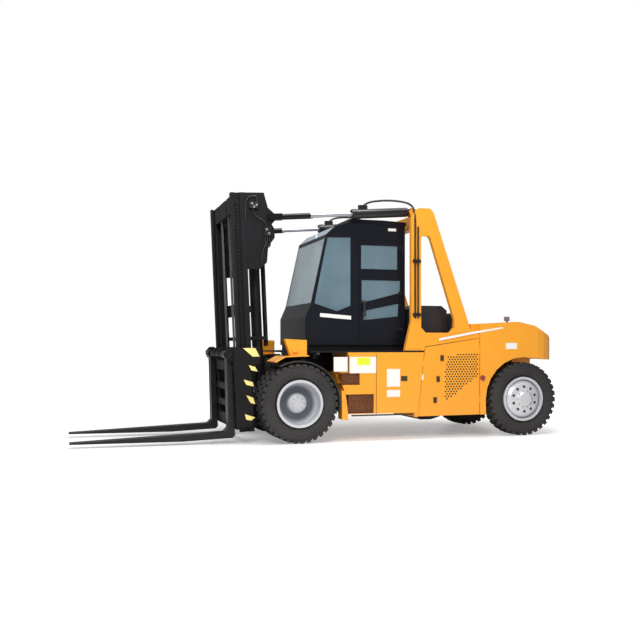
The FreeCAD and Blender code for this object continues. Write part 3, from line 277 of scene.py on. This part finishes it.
YELLOW = (0.93, 0.375, 0.022)
SILVER = (0.62, 0.63, 0.66)
paints = {
    "yellow": surface("orange_yellow_paint", YELLOW, 0.34, coat=0.35, change=0.03, bump=0.02,
                      round_edge=0.006),
    "black": surface("satin_black_paint", (0.007, 0.0065, 0.008), 0.45, change=0.2, round_edge=0.004,
                     specular=0.25),
    "cab": surface("cab_blue_black_paint", (0.005, 0.0065, 0.0115), 0.34, change=0.15, round_edge=0.006,
                   specular=0.3),
    "mast": surface("mast_black_paint", (0.0065, 0.006, 0.0075), 0.5, change=0.3, round_edge=0.004,
                    specular=0.22),
    "silver": surface("silver_wheel_paint", SILVER, 0.35, metallic=0.25, change=0.07, round_edge=0.004),
    "tyre": surface("tyre_rubber", (0.03, 0.027, 0.026), 0.8, change=0.25, bump=0.3, grain=140),
    "rubber": surface("guard_rubber", (0.02, 0.018, 0.017), 0.6, change=0.2),
    "chrome": surface("polished_rod", (0.72, 0.73, 0.76), 0.16, metallic=1.0, change=0.03, bump=0.01),
    "steel": surface("oiled_steel", (0.17, 0.165, 0.16), 0.4, metallic=0.8, change=0.3),
    "cast": surface("dark_cast_iron", (0.05, 0.05, 0.052), 0.6, metallic=0.3, change=0.2, bump=0.3),
    # Step mesh: brown sheet whose holes are painted shade.
    "steps": perforated("brown_step_mesh", (0.15, 0.048, 0.012), (0.012, 0.006, 0.004), 0.045),
    "tilt_rod": sleeved_rod("tilt_rod_finish"),
    # The drive rims carry a band of painted shade in their dish.
    "rim_painted_shade": rim_with_painted_shade("rim_paint_painted_shade", SILVER, (0.16, 0.18, 0.2), 0.145, 0.33),
    "fabric": surface("seat_cloth", (0.03, 0.03, 0.034), 0.9, change=0.2, bump=0.4, grain=300),
    "plastic": surface("black_plastic", (0.022, 0.02, 0.024), 0.33, coat=0.2, change=0.15, bump=0.1,
                       grain=200, round_edge=0.02),
    "fork": surface("fork_black_paint", (0.012, 0.010, 0.010), 0.35, change=0.3, round_edge=0.004,
                    specular=0.4),
    "lamp": surface("lamp_grey", (0.2, 0.21, 0.23), 0.35, change=0.1),
    "plates": surface("carriage_black_paint", (0.007, 0.006, 0.006), 0.45, change=0.3, round_edge=0.004,
                      specular=0.22),
    "patch": surface("warning_yellow_film", (0.87, 0.72, 0.24), 0.45, change=0.12),
    "label": surface("blank_white_label", (0.85, 0.84, 0.80), 0.4, change=0.03),
    "lime": surface("lime_film", (0.76, 0.84, 0.03), 0.45, change=0.05),
    "reflector": surface("red_reflector", (0.32, 0.05, 0.04), 0.2, coat=0.8, change=0.2),
    # Dark brown that yellow paint takes in shade: painted shade for holes, seams and gaps; the latches and
    # the small plate on the box are drawn in it too.
    "gap": surface("dark_gap_painted_shade", (0.05, 0.028, 0.008), 0.7, change=0.2),
    "hose": surface("hose_rubber", (0.012, 0.012, 0.013), 0.5, change=0.2, bump=0.2, grain=400),
    "fitting": surface("zinc_fitting", (0.5, 0.49, 0.42), 0.35, metallic=0.8, change=0.2),
    "barrel": surface("barrel_black_paint", (0.01, 0.01, 0.012), 0.35, change=0.2, round_edge=0.003),
    # Window glass: darker side panes, and a paler painted reflection on the forward and upward panes.
    "glass": window_glass("window_glass", (0.18, 0.28, 0.34), (0.66, 0.82, 0.88), 0.66),
}

NODE_PAINT = {
    "yellow": ["counterweight", "side_boxes", "fender_brackets", "tilt_frame_left", "tilt_frame_right",
               "tilt_beam", "hood", "engine_door_left", "engine_door_right"],
    "black": ["main_frame", "drive_axle", "steer_axle", "deck", "belly_tank"],
    "barrel": ["tilt_barrel_left", "tilt_barrel_right"],
    "cab": ["cab_side_left", "cab_side_right", "cab_front", "cab_rear_wall", "cab_floor", "cab_roof",
            "cab_door_left", "cab_door_right"],
    "mast": ["outer_mast", "lift_cylinders", "inner_mast", "carriage"],
    "silver": ["steer_rim_left", "steer_rim_right"],
    "rim_painted_shade": ["drive_rims_left", "drive_rims_right"],
    "tyre": ["drive_tyres_left", "drive_tyres_right", "steer_tyre_left", "steer_tyre_right"],
    "rubber": ["wheel_guards"],
    "chrome": ["lift_rods"],
    "tilt_rod": ["tilt_rod_left", "tilt_rod_right"],
    "steel": ["lift_chains"],
    "cast": ["knuckle_left", "knuckle_right", "engine_block"],
    "steps": ["boarding_steps"],
    "fabric": ["seat"],
    "plastic": ["engine_cover", "console"],
    "fork": ["fork_left", "fork_right"],
    "lamp": ["work_lamp"],
    "plates": ["carriage_plates"],
    "glass": ["cab_glass", "cab_door_glass_left", "cab_door_glass_right"],
}
for paint, names in NODE_PAINT.items():
    for name in names:
        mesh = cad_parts[name].data
        mesh.materials.clear()
        mesh.materials.append(paints[paint])

# Pieces. Outlines and points give x from the drive axle.


def place_at(x, y, z):
    """A point given from the drive axle, in the row frame."""
    return Vector((x + DRIVE_X, y, z))


def add_piece(name, vertices, faces, paint, body):
    """One mesh piece that rides on a body."""
    mesh = bpy.data.meshes.new(name)
    mesh.from_pydata([tuple(vertex) for vertex in vertices], [], faces)
    mesh.validate()
    mesh.materials.append(paints[paint])
    piece = bpy.data.objects.new(name, mesh)
    bpy.context.scene.collection.objects.link(piece)
    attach(piece, body)
    return piece


def prism(outline, y_low, y_high):
    """Vertices and faces of an XZ outline, from y_low to y_high."""
    count = len(outline)
    vertices = [place_at(x, y_low, z) for x, z in outline]
    vertices += [place_at(x, y_high, z) for x, z in outline]
    faces = [tuple(range(count)), tuple(reversed(range(count, 2 * count)))]
    for step in range(count):
        after = (step + 1) % count
        faces.append((step, count + step, count + after, after))
    return vertices, faces


def side_prism(outline, sign, near, far):
    """A prism on one side of the truck, between two distances from the middle plane."""
    return prism(outline, *sorted((sign * near, sign * far)))


def ring(centre, radius, count, phase=0.0):
    """Points of a circle in the XZ plane."""
    angles = [phase + math.tau * step / count for step in range(count)]
    return [(centre[0] + radius * math.cos(angle), centre[1] + radius * math.sin(angle)) for angle in angles]


def rect(x_low, x_high, z_low, z_high):
    """Outline of a rectangle."""
    return [(x_low, z_low), (x_high, z_low), (x_high, z_high), (x_low, z_high)]


def merged(parts):
    """One vertex and face list from several."""
    vertices = []
    faces = []
    for part_vertices, part_faces in parts:
        offset = len(vertices)
        vertices += part_vertices
        faces += [tuple(index + offset for index in face) for face in part_faces]
    return vertices, faces


def both_sides(name, outlines, face, depth, paint, body):
    """Thin plates that stand depth proud of the left face, and the same on the right."""
    sunk = 0.001
    for side, sign in SIDES:
        parts = [side_prism(outline, sign, face - sunk, face + depth) for outline in outlines]
        add_piece(f"{name}_{side}", *merged(parts), paint, body.replace("left", side))


# Tyres: a turned casing, given by radius and share of the width, under three rows of blocks
CASING = [(0.368, 0.30), (0.40, 0.43), (0.47, 0.49), (0.54, 0.48), (0.578, 0.44), (0.586, 0.30), (0.588, 0.0)]
CASING_TURNS = 72
BLOCK_COUNT = 34
BLOCK_ROOT = 0.566
BLOCK_TIP = WHEEL_RADIUS - 0.001
BLOCK_TAPER = 0.84
BLOCK_HALF_SHARE = 0.34
# Each row: low and high edge as shares of the width, shift in pitches, skew in radians
BLOCK_ROWS = ((-0.49, -0.19, 0.0, -0.04), (-0.155, 0.155, 0.5, 0.04), (0.19, 0.49, 0.0, 0.04))


def casing(middle_y, axle_x):
    """Turned casing of one tyre."""
    profile = [(radius, share * TYRE_WIDTH) for radius, share in CASING]
    profile += [(radius, -offset) for radius, offset in reversed(profile[:-1])]
    count = len(profile)
    vertices = []
    faces = []
    for turn in range(CASING_TURNS):
        angle = math.tau * turn / CASING_TURNS
        for radius, offset in profile:
            vertices.append(Vector((axle_x + radius * math.cos(angle), middle_y + offset,
                                    WHEEL_RADIUS + radius * math.sin(angle))))
        here = turn * count
        after = (turn + 1) % CASING_TURNS * count
        for step in range(count):
            following = (step + 1) % count
            faces.append((here + step, here + following, after + following, after + step))
    return vertices, faces


def block(middle_y, axle_x, angle, y_low, y_high, skew):
    """One tread block between two radii, with a narrower top."""
    half_angle = math.tau / BLOCK_COUNT * BLOCK_HALF_SHARE
    middle = (y_low + y_high) / 2
    vertices = []
    for radius, shrink in ((BLOCK_ROOT, 1.0), (BLOCK_TIP, BLOCK_TAPER)):
        for side_y, turn in ((y_low, -1), (y_low, 1), (y_high, 1), (y_high, -1)):
            offset = middle + (side_y - middle) * shrink
            bend = skew if side_y == y_high else 0.0
            at = angle + half_angle * turn * shrink + bend
            vertices.append(Vector((axle_x + radius * math.cos(at), middle_y + offset,
                                    WHEEL_RADIUS + radius * math.sin(at))))
    faces = [(0, 1, 2, 3), (7, 6, 5, 4), (0, 4, 5, 1), (1, 5, 6, 2), (2, 6, 7, 3), (3, 7, 4, 0)]
    return vertices, faces


def tyre(middle_y, axle_x):
    """Casing and tread blocks of one tyre."""
    parts = [casing(middle_y, axle_x)]
    for number in range(BLOCK_COUNT):
        for low, high, shift, skew in BLOCK_ROWS:
            angle = math.tau / BLOCK_COUNT * (number + shift)
            parts.append(block(middle_y, axle_x, angle, low * TYRE_WIDTH, high * TYRE_WIDTH, skew))
    return merged(parts)


def make_tyres():
    """Treaded tyres in place of the plain ones."""
    for side, sign in SIDES:
        low, high = shown_box(f"drive_tyres_{side}")
        inner_y, outer_y = sorted((abs(low.y), abs(high.y)))
        middles = (inner_y + TYRE_WIDTH / 2, outer_y - TYRE_WIDTH / 2)
        parts = [tyre(sign * middle, DRIVE_X) for middle in middles]
        piece = add_piece(f"treaded_drive_tyres_{side}", *merged(parts), "tyre", f"drive_wheel_{side}")
        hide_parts(f"drive_tyres_{side}")
        low, high = shown_box(f"steer_tyre_{side}")
        piece = add_piece(f"treaded_steer_tyre_{side}", *tyre((low.y + high.y) / 2, STEER_X), "tyre",
                          f"steer_wheel_{side}")
        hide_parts(f"steer_tyre_{side}")


def add_studs(name, axle_x, circle, count, radius, face, sign, body):
    """Six-sided studs on a circle round a wheel's axle."""
    spots = ring((axle_x, WHEEL_RADIUS), circle, count)
    studs = [prism(ring(spot, radius, 6), sign * (face - 0.01), sign * (face + 0.018)) for spot in spots]
    add_piece(name, *merged(studs), "fitting", body)


def make_wheel_details():
    """Studs of all four wheels, and dark discs as painted shade for the hand holes in the steered ones."""
    for side, sign in SIDES:
        add_studs(f"drive_{side}_studs", 0.0, 0.095, 8, 0.011, DRIVE_HUB_FACE, sign, f"drive_wheel_{side}")
        body = f"steer_wheel_{side}"
        add_studs(f"steer_{side}_studs", -WHEELBASE, 0.137, 10, 0.012, STEER_STUD_FACE, sign, body)
        # The hand holes are dark discs of painted shade inside the wheel.
        spots = ring((-WHEELBASE, WHEEL_RADIUS), 0.205, 10, 0.3)
        near, far = sign * (STEER_HOLE_FACE - 0.012), sign * (STEER_HOLE_FACE + 0.006)
        holes = [prism(ring(spot, 0.024, 12), near, far) for spot in spots]
        add_piece(f"steer_{side}_hand_hole_shade", *merged(holes), "gap", body)


def tube(name, points, radius, paint, body):
    """A round pipe along a smooth line through a few chosen points."""
    curve = bpy.data.curves.new(name, "CURVE")
    curve.dimensions = "3D"
    curve.bevel_depth = radius
    curve.bevel_resolution = 3
    curve.resolution_u = 10
    curve.use_fill_caps = True
    spline = curve.splines.new("NURBS")
    spline.points.add(len(points) - 1)
    for point, where in zip(spline.points, points):
        point.co = (*where, 1)
    spline.order_u = 3
    spline.use_endpoint_u = True
    curve.materials.append(paints[paint])
    piece = bpy.data.objects.new(name, curve)
    bpy.context.scene.collection.objects.link(piece)
    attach(piece, body)
    return piece


def spline_length(piece):
    """Length of a curve's own centreline."""
    plain = piece.data.copy()
    plain.bevel_depth = 0
    carrier = bpy.data.objects.new("measure", plain)
    mesh = bpy.data.meshes.new_from_object(carrier)
    points = [vertex.co.copy() for vertex in mesh.vertices]
    bpy.data.objects.remove(carrier)
    return sum((after - before).length for before, after in zip(points, points[1:]))


def free_hose(name, points, radius, body):
    """A flexible hose between two fixed ends, as long as the route drawn for it."""
    piece = tube(name, points, radius, "hose", body)
    spline_length(piece)


BARREL_Y = 0.90
BARREL_HOSE = ((-1.10, 0.90, 3.70), (-1.16, 0.90, 3.80), (-1.42, 0.92, 3.85), (-1.68, 0.98, 3.85),
               (-1.90, 1.06, 3.80), (-1.95, 1.12, 3.66), (-1.94, 1.146, 3.42))
MAST_HOSE_Y = 0.936
MAST_HOSES = (
    ((0.62, 3.72), (0.60, 3.79), (0.68, 3.82), (0.77, 3.78), (0.80, 3.66), (0.80, 3.40)),
    ((0.68, 3.62), (0.66, 3.52), (0.56, 3.46), (0.48, 3.42), (0.46, 3.34)),
    ((0.45, 3.20), (0.44, 3.12), (0.50, 3.04), (0.53, 2.92), (0.54, 2.78)),
    ((0.48, 3.20), (0.50, 3.08), (0.42, 3.02), (0.40, 3.10), (0.42, 3.20)),
)
MAST_CAPS = ((0.63, 3.67), (0.70, 3.69), (0.67, 3.64), (0.43, 3.24), (0.47, 3.30))


def make_hoses():
    """Hoses and valves of the tilt barrels and of the mast's left rail."""
    for side, sign in SIDES:
        body = f"tilt_barrel_{side}"
        route = [place_at(x, sign * y, z) for x, y, z in BARREL_HOSE]
        free_hose(f"barrel_hose_{side}", route, 0.017, body)
        valve = prism(rect(-1.20, -1.06, 3.66, 3.76), sign * BARREL_Y - 0.035, sign * BARREL_Y + 0.035)
        add_piece(f"barrel_valve_{side}", *valve, "barrel", body)
    blocks = [prism(rect(0.60, 0.74, 3.62, 3.72), 0.905, 0.965),
              prism(rect(0.40, 0.50, 3.20, 3.34), 0.905, 0.965)]
    add_piece("mast_valve_blocks", *merged(blocks), "barrel", "mast")
    caps = [prism(ring(spot, 0.018, 12), 0.96, 0.985) for spot in MAST_CAPS]
    add_piece("mast_valve_fittings", *merged(caps), "fitting", "mast")
    for number, route in enumerate(MAST_HOSES, 1):
        free_hose(f"mast_hose_{number}", [place_at(x, MAST_HOSE_Y, z) for x, z in route], 0.012, "mast")


def make_cab_trim():
    """Door handles and hinges, and the pale strip along the hood's side."""
    for side, sign in SIDES:
        body = f"cab_door_{side}"
        grip = [side_prism(rect(-1.20, -1.16, 2.02, 2.20), sign, CAB_DOOR_FACE, CAB_DOOR_FACE + 0.03)]
        for z in (1.99, 2.19):
            foot = rect(-1.21, -1.15, z, z + 0.04)
            grip.append(side_prism(foot, sign, CAB_DOOR_FACE - 0.002, CAB_DOOR_FACE + 0.034))
        add_piece(f"door_handle_{side}", *merged(grip), "plastic", body)
        leaves = [rect(-1.845, -1.78, z, z + 0.05) for z in (1.75, 2.34, 3.08)]
        hinges = [side_prism(leaf, sign, CAB_DOOR_FACE - 0.001, CAB_DOOR_FACE + 0.010) for leaf in leaves]
        add_piece(f"door_hinges_{side}", *merged(hinges), "barrel", body)
    strip = [(-2.36, 1.585), (-2.93, 1.69), (-3.52, 1.79), (-3.52, 1.815), (-2.93, 1.73), (-2.36, 1.625)]
    both_sides("pale_strip", [strip], BODY_FACE, 0.002, "label", "chassis")


CUSHION_STEPS = 10
SEAM_AT = 0.55


def cushion_point(u, v, layer, size, crown):
    """A point of a pad, for u and v from -1 to 1, with drawn-in sides and two sewn channels on top."""
    across, deep, thick = size
    pull = 1 - 0.05 * (1 - u * u) * abs(v) - 0.05 * (1 - v * v) * abs(u)
    edge = (1 - abs(u) ** 5) * (1 - abs(v) ** 5)
    height = thick * (0.28 + 0.22 * edge)
    if layer > 0:
        channel = 0.008 * math.exp(-((abs(v) - SEAM_AT) / 0.05) ** 2)
        height += crown * (1 - u * u) * (1 - v * v) - channel
    return Vector((u * deep / 2 * pull, v * across / 2 * pull, layer * height))


def cushion(name, middle, size, tilt, crown):
    """A crowned pad, tilted about Y."""
    steps = CUSHION_STEPS
    side = steps + 1
    count = side * side
    spans = [2 * step / steps - 1 for step in range(side)]
    vertices = [cushion_point(u, v, layer, size, crown) for layer in (-1, 1) for u in spans for v in spans]
    faces = []
    for row in range(steps):
        for column in range(steps):
            corner = row * side + column
            faces.append((corner, corner + side, corner + side + 1, corner + 1))
            upper = count + corner
            faces.append((upper, upper + 1, upper + side + 1, upper + side))
    rim = list(range(side))
    rim += [row * side + steps for row in range(1, side)]
    rim += [steps * side + column for column in range(steps - 1, -1, -1)]
    rim += [row * side for row in range(steps - 1, 0, -1)]
    for here, after in zip(rim, rim[1:] + rim[:1]):
        faces.append((here, after, count + after, count + here))
    turn = Matrix.Rotation(tilt, 4, "Y")
    piece = add_piece(name, [turn @ vertex + middle for vertex in vertices], faces, "fabric", "chassis")
    for face in piece.data.polygons:
        face.use_smooth = True
    soften = piece.modifiers.new("soft", "SUBSURF")
    soften.levels = soften.render_levels = 1


def make_seat():
    """Seat base with its own cushion and back, in place of the plain seat."""
    low, high = shown_box("seat")
    back_x = low.x - DRIVE_X
    front_x = high.x - DRIVE_X
    foot = [(back_x + 0.08, low.z), (front_x - 0.10, low.z),
            (front_x - 0.14, low.z + 0.22), (back_x + 0.12, low.z + 0.22)]
    pan = rect(back_x + 0.06, front_x - 0.04, low.z + 0.22, low.z + 0.30)
    shell = add_piece("seat_base", *merged([prism(foot, -0.2, 0.2), prism(pan, -0.22, 0.22)]), "plastic",
                      "chassis")
    middle_x = (low.x + high.x) / 2
    cushion("seat_cushion", Vector((middle_x + 0.02, 0, low.z + 0.385)), (0.50, 0.52, 0.16), -0.06, 0.02)
    recline = math.pi / 2 - 0.16
    cushion("seat_back", Vector((low.x + 0.10, 0, low.z + 0.70)), (0.48, 0.52, 0.14), recline, 0.02)
    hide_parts("seat")


def inside(point, outline):
    """True if a point lies in a polygon."""
    x, z = point
    hit = False
    for (x_a, z_a), (x_b, z_b) in zip(outline, outline[1:] + outline[:1]):
        if (z_a > z) != (z_b > z) and x < (x_b - x_a) * (z - z_a) / (z_b - z_a) + x_a:
            hit = not hit
    return hit


def make_perforation():
    """Staggered rows of thin dark discs on the engine doors, painted shade in place of holes."""
    region = [(-2.52, 1.34), (-3.06, 1.40), (-3.06, 1.02), (-2.60, 0.66), (-2.46, 0.62), (-2.46, 1.0)]
    pitch = 0.05
    discs = []
    row = 0
    z = 0.6
    while z < 1.45:
        x = -3.08 + (pitch / 2 if row % 2 else 0)
        while x < -2.4:
            if inside((x, z), region):
                discs.append(ring((x, z), 0.015, 8))
            x += pitch
        z += pitch * 0.8
        row += 1
    # The discs are painted shade where the door's holes are.
    both_sides("door_holes", discs, DOOR_FACE, 0.001, "gap", "engine_door_left")


LATCHES = [rect(x - 0.028, x + 0.028, z - 0.045, z + 0.045)
           for x, z in ((-2.417, 1.304), (-2.346, 0.964), (-2.293, 0.624))]
SEAMS = [rect(-0.81, -0.795, 1.05, 1.37), rect(-1.272, -1.264, 0.42, 1.37), rect(-1.90, -0.85, 0.395, 0.42)]
CAB_LABEL = [(-0.438, 2.026), (-0.96, 1.985), (-0.96, 1.925), (-0.438, 1.966)]
# Name, outlines, face, how far it stands proud, paint, body
SIDE_TRIM = (
    ("door_latches", LATCHES, DOOR_FACE, 0.012, "gap", "engine_door_left"),
    ("side_panel", [rect(-1.264, -0.828, 1.073, 1.329)], BODY_FACE, 0.003, "label", "chassis"),
    ("side_panel_front", [rect(-0.787, -0.56, 1.10, 1.329)], BODY_FACE, 0.003, "label", "chassis"),
    ("side_panel_film", [rect(-1.162, -0.945, 1.201, 1.318)], BODY_FACE, 0.005, "lime", "chassis"),
    ("box_labels", [rect(-1.673, -1.45, 0.853, 1.135), rect(-1.673, -1.45, 0.69, 0.80)], BODY_FACE, 0.003,
     "label", "chassis"),
    ("door_labels", [rect(-2.09, -1.95, 1.20, 1.29), rect(-2.09, -1.95, 0.95, 1.04)], DOOR_FACE, 0.003,
     "label", "chassis"),
    ("box_small_plate", [rect(-1.80, -1.69, 0.94, 1.02)], BODY_FACE, 0.004, "gap", "chassis"),
    ("rear_label", [rect(-3.781, -3.574, 1.448, 1.549)], BODY_FACE, 0.003, "label", "chassis"),
    # Seams: dark strips of painted shade in the gaps between panels.
    ("box_seam_shade", SEAMS, BODY_FACE, 0.0015, "gap", "chassis"),
    ("reflectors", [ring((-3.14, 0.972), 0.045, 16)], BODY_FACE, 0.012, "reflector", "chassis"),
    ("cab_labels", [CAB_LABEL], CAB_FACE, 0.003, "label", "chassis"),
    ("roof_labels", [rect(-1.74, -1.60, 3.375, 3.42)], CAB_FACE, 0.003, "label", "chassis"),
)
WARNING_PATCHES = [
    [(0.85, 1.47), (0.66, 1.47), (0.59, 1.34), (0.70, 1.34)],
    [(0.76, 1.21), (0.66, 1.18), (0.62, 1.11), (0.72, 1.13)],
    [(0.84, 0.99), (0.70, 0.95), (0.68, 0.88), (0.80, 0.91)],
    [(0.80, 0.75), (0.69, 0.71), (0.66, 0.61), (0.73, 0.63)],
    [(0.82, 0.46), (0.66, 0.41), (0.72, 0.36), (0.80, 0.38)],
]


def make_pipes():
    """Two pipes with clamps down the front leg of each tilt frame."""
    for side, sign in SIDES:
        for number, x in ((1, -1.938), (2, -1.99)):
            points = [place_at(x, sign * 1.146, z) for z in (3.42, 3.0, 2.4, 1.95)]
            tube(f"frame_pipe_{number}_{side}", points, 0.014, "hose", "chassis")
        clamps = [side_prism(rect(-2.03, -1.90, z, z + 0.05), sign, 1.129, 1.168) for z in (2.84, 1.98)]
        add_piece(f"pipe_clamps_{side}", *merged(clamps), "barrel", "chassis")


make_tyres()
make_wheel_details()
make_hoses()
make_cab_trim()
make_seat()
make_perforation()
for row in SIDE_TRIM:
    both_sides(*row)
both_sides("warning_patches", WARNING_PATCHES, shown_box("carriage_plates")[1].y, 0.002, "patch", "carriage")
make_pipes()

# Stage: white floor, soft light, camera at the photo's place

PICTURE_PX = 640
FOCAL_PX = 830.76
CENTRE_PX = (318.17, 343.64)
SENSOR_MM = 36.0
CAMERA_YAW = 0.2959
CAMERA_FROM_DRIVE = Vector((3.447, 13.463, 1.538))
FLOOR_HALF = 60.0
FLOOR_LIFT = 0.3
WHITE_FROM = 3.0
WHITE_AT = 7.5
WORLD_LIGHT = 0.3


def make_camera():
    """Level camera at the photo's place, with its centre shifted as there."""
    data = bpy.data.cameras.new("photo_view")
    data.sensor_width = SENSOR_MM
    data.lens = FOCAL_PX / PICTURE_PX * SENSOR_MM
    data.shift_x = (PICTURE_PX / 2 - CENTRE_PX[0]) / PICTURE_PX
    data.shift_y = (CENTRE_PX[1] - PICTURE_PX / 2) / PICTURE_PX
    data.clip_end = 200.0
    camera = bpy.data.objects.new("photo_view", data)
    camera.location = CAMERA_FROM_DRIVE + Vector((DRIVE_X, 0, 0))
    camera.rotation_euler = (math.pi / 2, 0, math.pi - CAMERA_YAW)
    bpy.context.scene.collection.objects.link(camera)
    bpy.context.scene.camera = camera


def make_floor():
    """Pale floor that keeps the shadow near the truck and is white to the camera further out."""
    mesh = bpy.data.meshes.new("studio_floor")
    corners = [(x * FLOOR_HALF, y * FLOOR_HALF, 0) for x, y in ((-1, -1), (1, -1), (1, 1), (-1, 1))]
    mesh.from_pydata(corners, [], [(0, 1, 2, 3)])
    floor = bpy.data.objects.new("studio_floor", mesh)
    floor.location.z = -0.0005
    bpy.context.scene.collection.objects.link(floor)
    material, nodes, links = new_material("studio_floor_white")
    shader = nodes["Principled BSDF"]
    noise = add_noise(nodes, links, FLOOR_NOISE)
    links.new(tinted(nodes, links, noise, (0.9, 0.9, 0.9), (0.94, 0.94, 0.94)), shader.inputs["Base Color"])
    links.new(spread(nodes, links, noise, 0.24, 0.3), shader.inputs["Roughness"])
    place = nodes.new("ShaderNodeTexCoord")
    away = nodes.new("ShaderNodeVectorMath")
    away.operation = "LENGTH"
    links.new(place.outputs["Object"], away.inputs[0])
    grown = ranged(nodes, links, away.outputs["Value"], WHITE_FROM, WHITE_AT, FLOOR_LIFT, 1.0)
    path = nodes.new("ShaderNodeLightPath")
    lift = nodes.new("ShaderNodeEmission")
    links.new(calc(nodes, links, "MULTIPLY", path.outputs["Is Camera Ray"], grown), lift.inputs["Strength"])
    total = nodes.new("ShaderNodeAddShader")
    links.new(shader.outputs[0], total.inputs[0])
    links.new(lift.outputs[0], total.inputs[1])
    links.new(total.outputs[0], nodes["Material Output"].inputs["Surface"])
    mesh.materials.append(material)


def add_area(name, place, target, size, power):
    """A round soft lamp that faces a point."""
    data = bpy.data.lights.new(name, "AREA")
    data.shape = "DISK"
    data.size = size
    data.energy = power
    light = bpy.data.objects.new(name, data)
    light.location = place
    light.rotation_euler = (Vector(target) - Vector(place)).to_track_quat("-Z", "Y").to_euler()
    bpy.context.scene.collection.objects.link(light)


def make_light():
    """White world, pure white to the camera and through glass, and two soft lamps."""
    world = bpy.data.worlds.new("studio_white")
    bpy.context.scene.world = world
    world.use_nodes = True
    nodes = world.node_tree.nodes
    links = world.node_tree.links
    back = nodes["Background"]
    back.inputs["Color"].default_value = (1, 1, 1, 1)
    path = nodes.new("ShaderNodeLightPath")
    shown = calc(nodes, links, "MAXIMUM", path.outputs["Is Camera Ray"], path.outputs["Is Transmission Ray"])
    links.new(ranged(nodes, links, shown, 0.0, 1.0, WORLD_LIGHT, 1.0), back.inputs["Strength"])
    add_area("key_over_left_front", (4.0, 9.5, 8.0), (0, 0, 1.2), 5.0, 900)
    add_area("top_soft", (-1.0, 2.0, 11.0), (0, 0, 0), 6.0, 900)


make_camera()
make_floor()
make_light()
bpy.context.scene.view_settings.view_transform = "Standard"
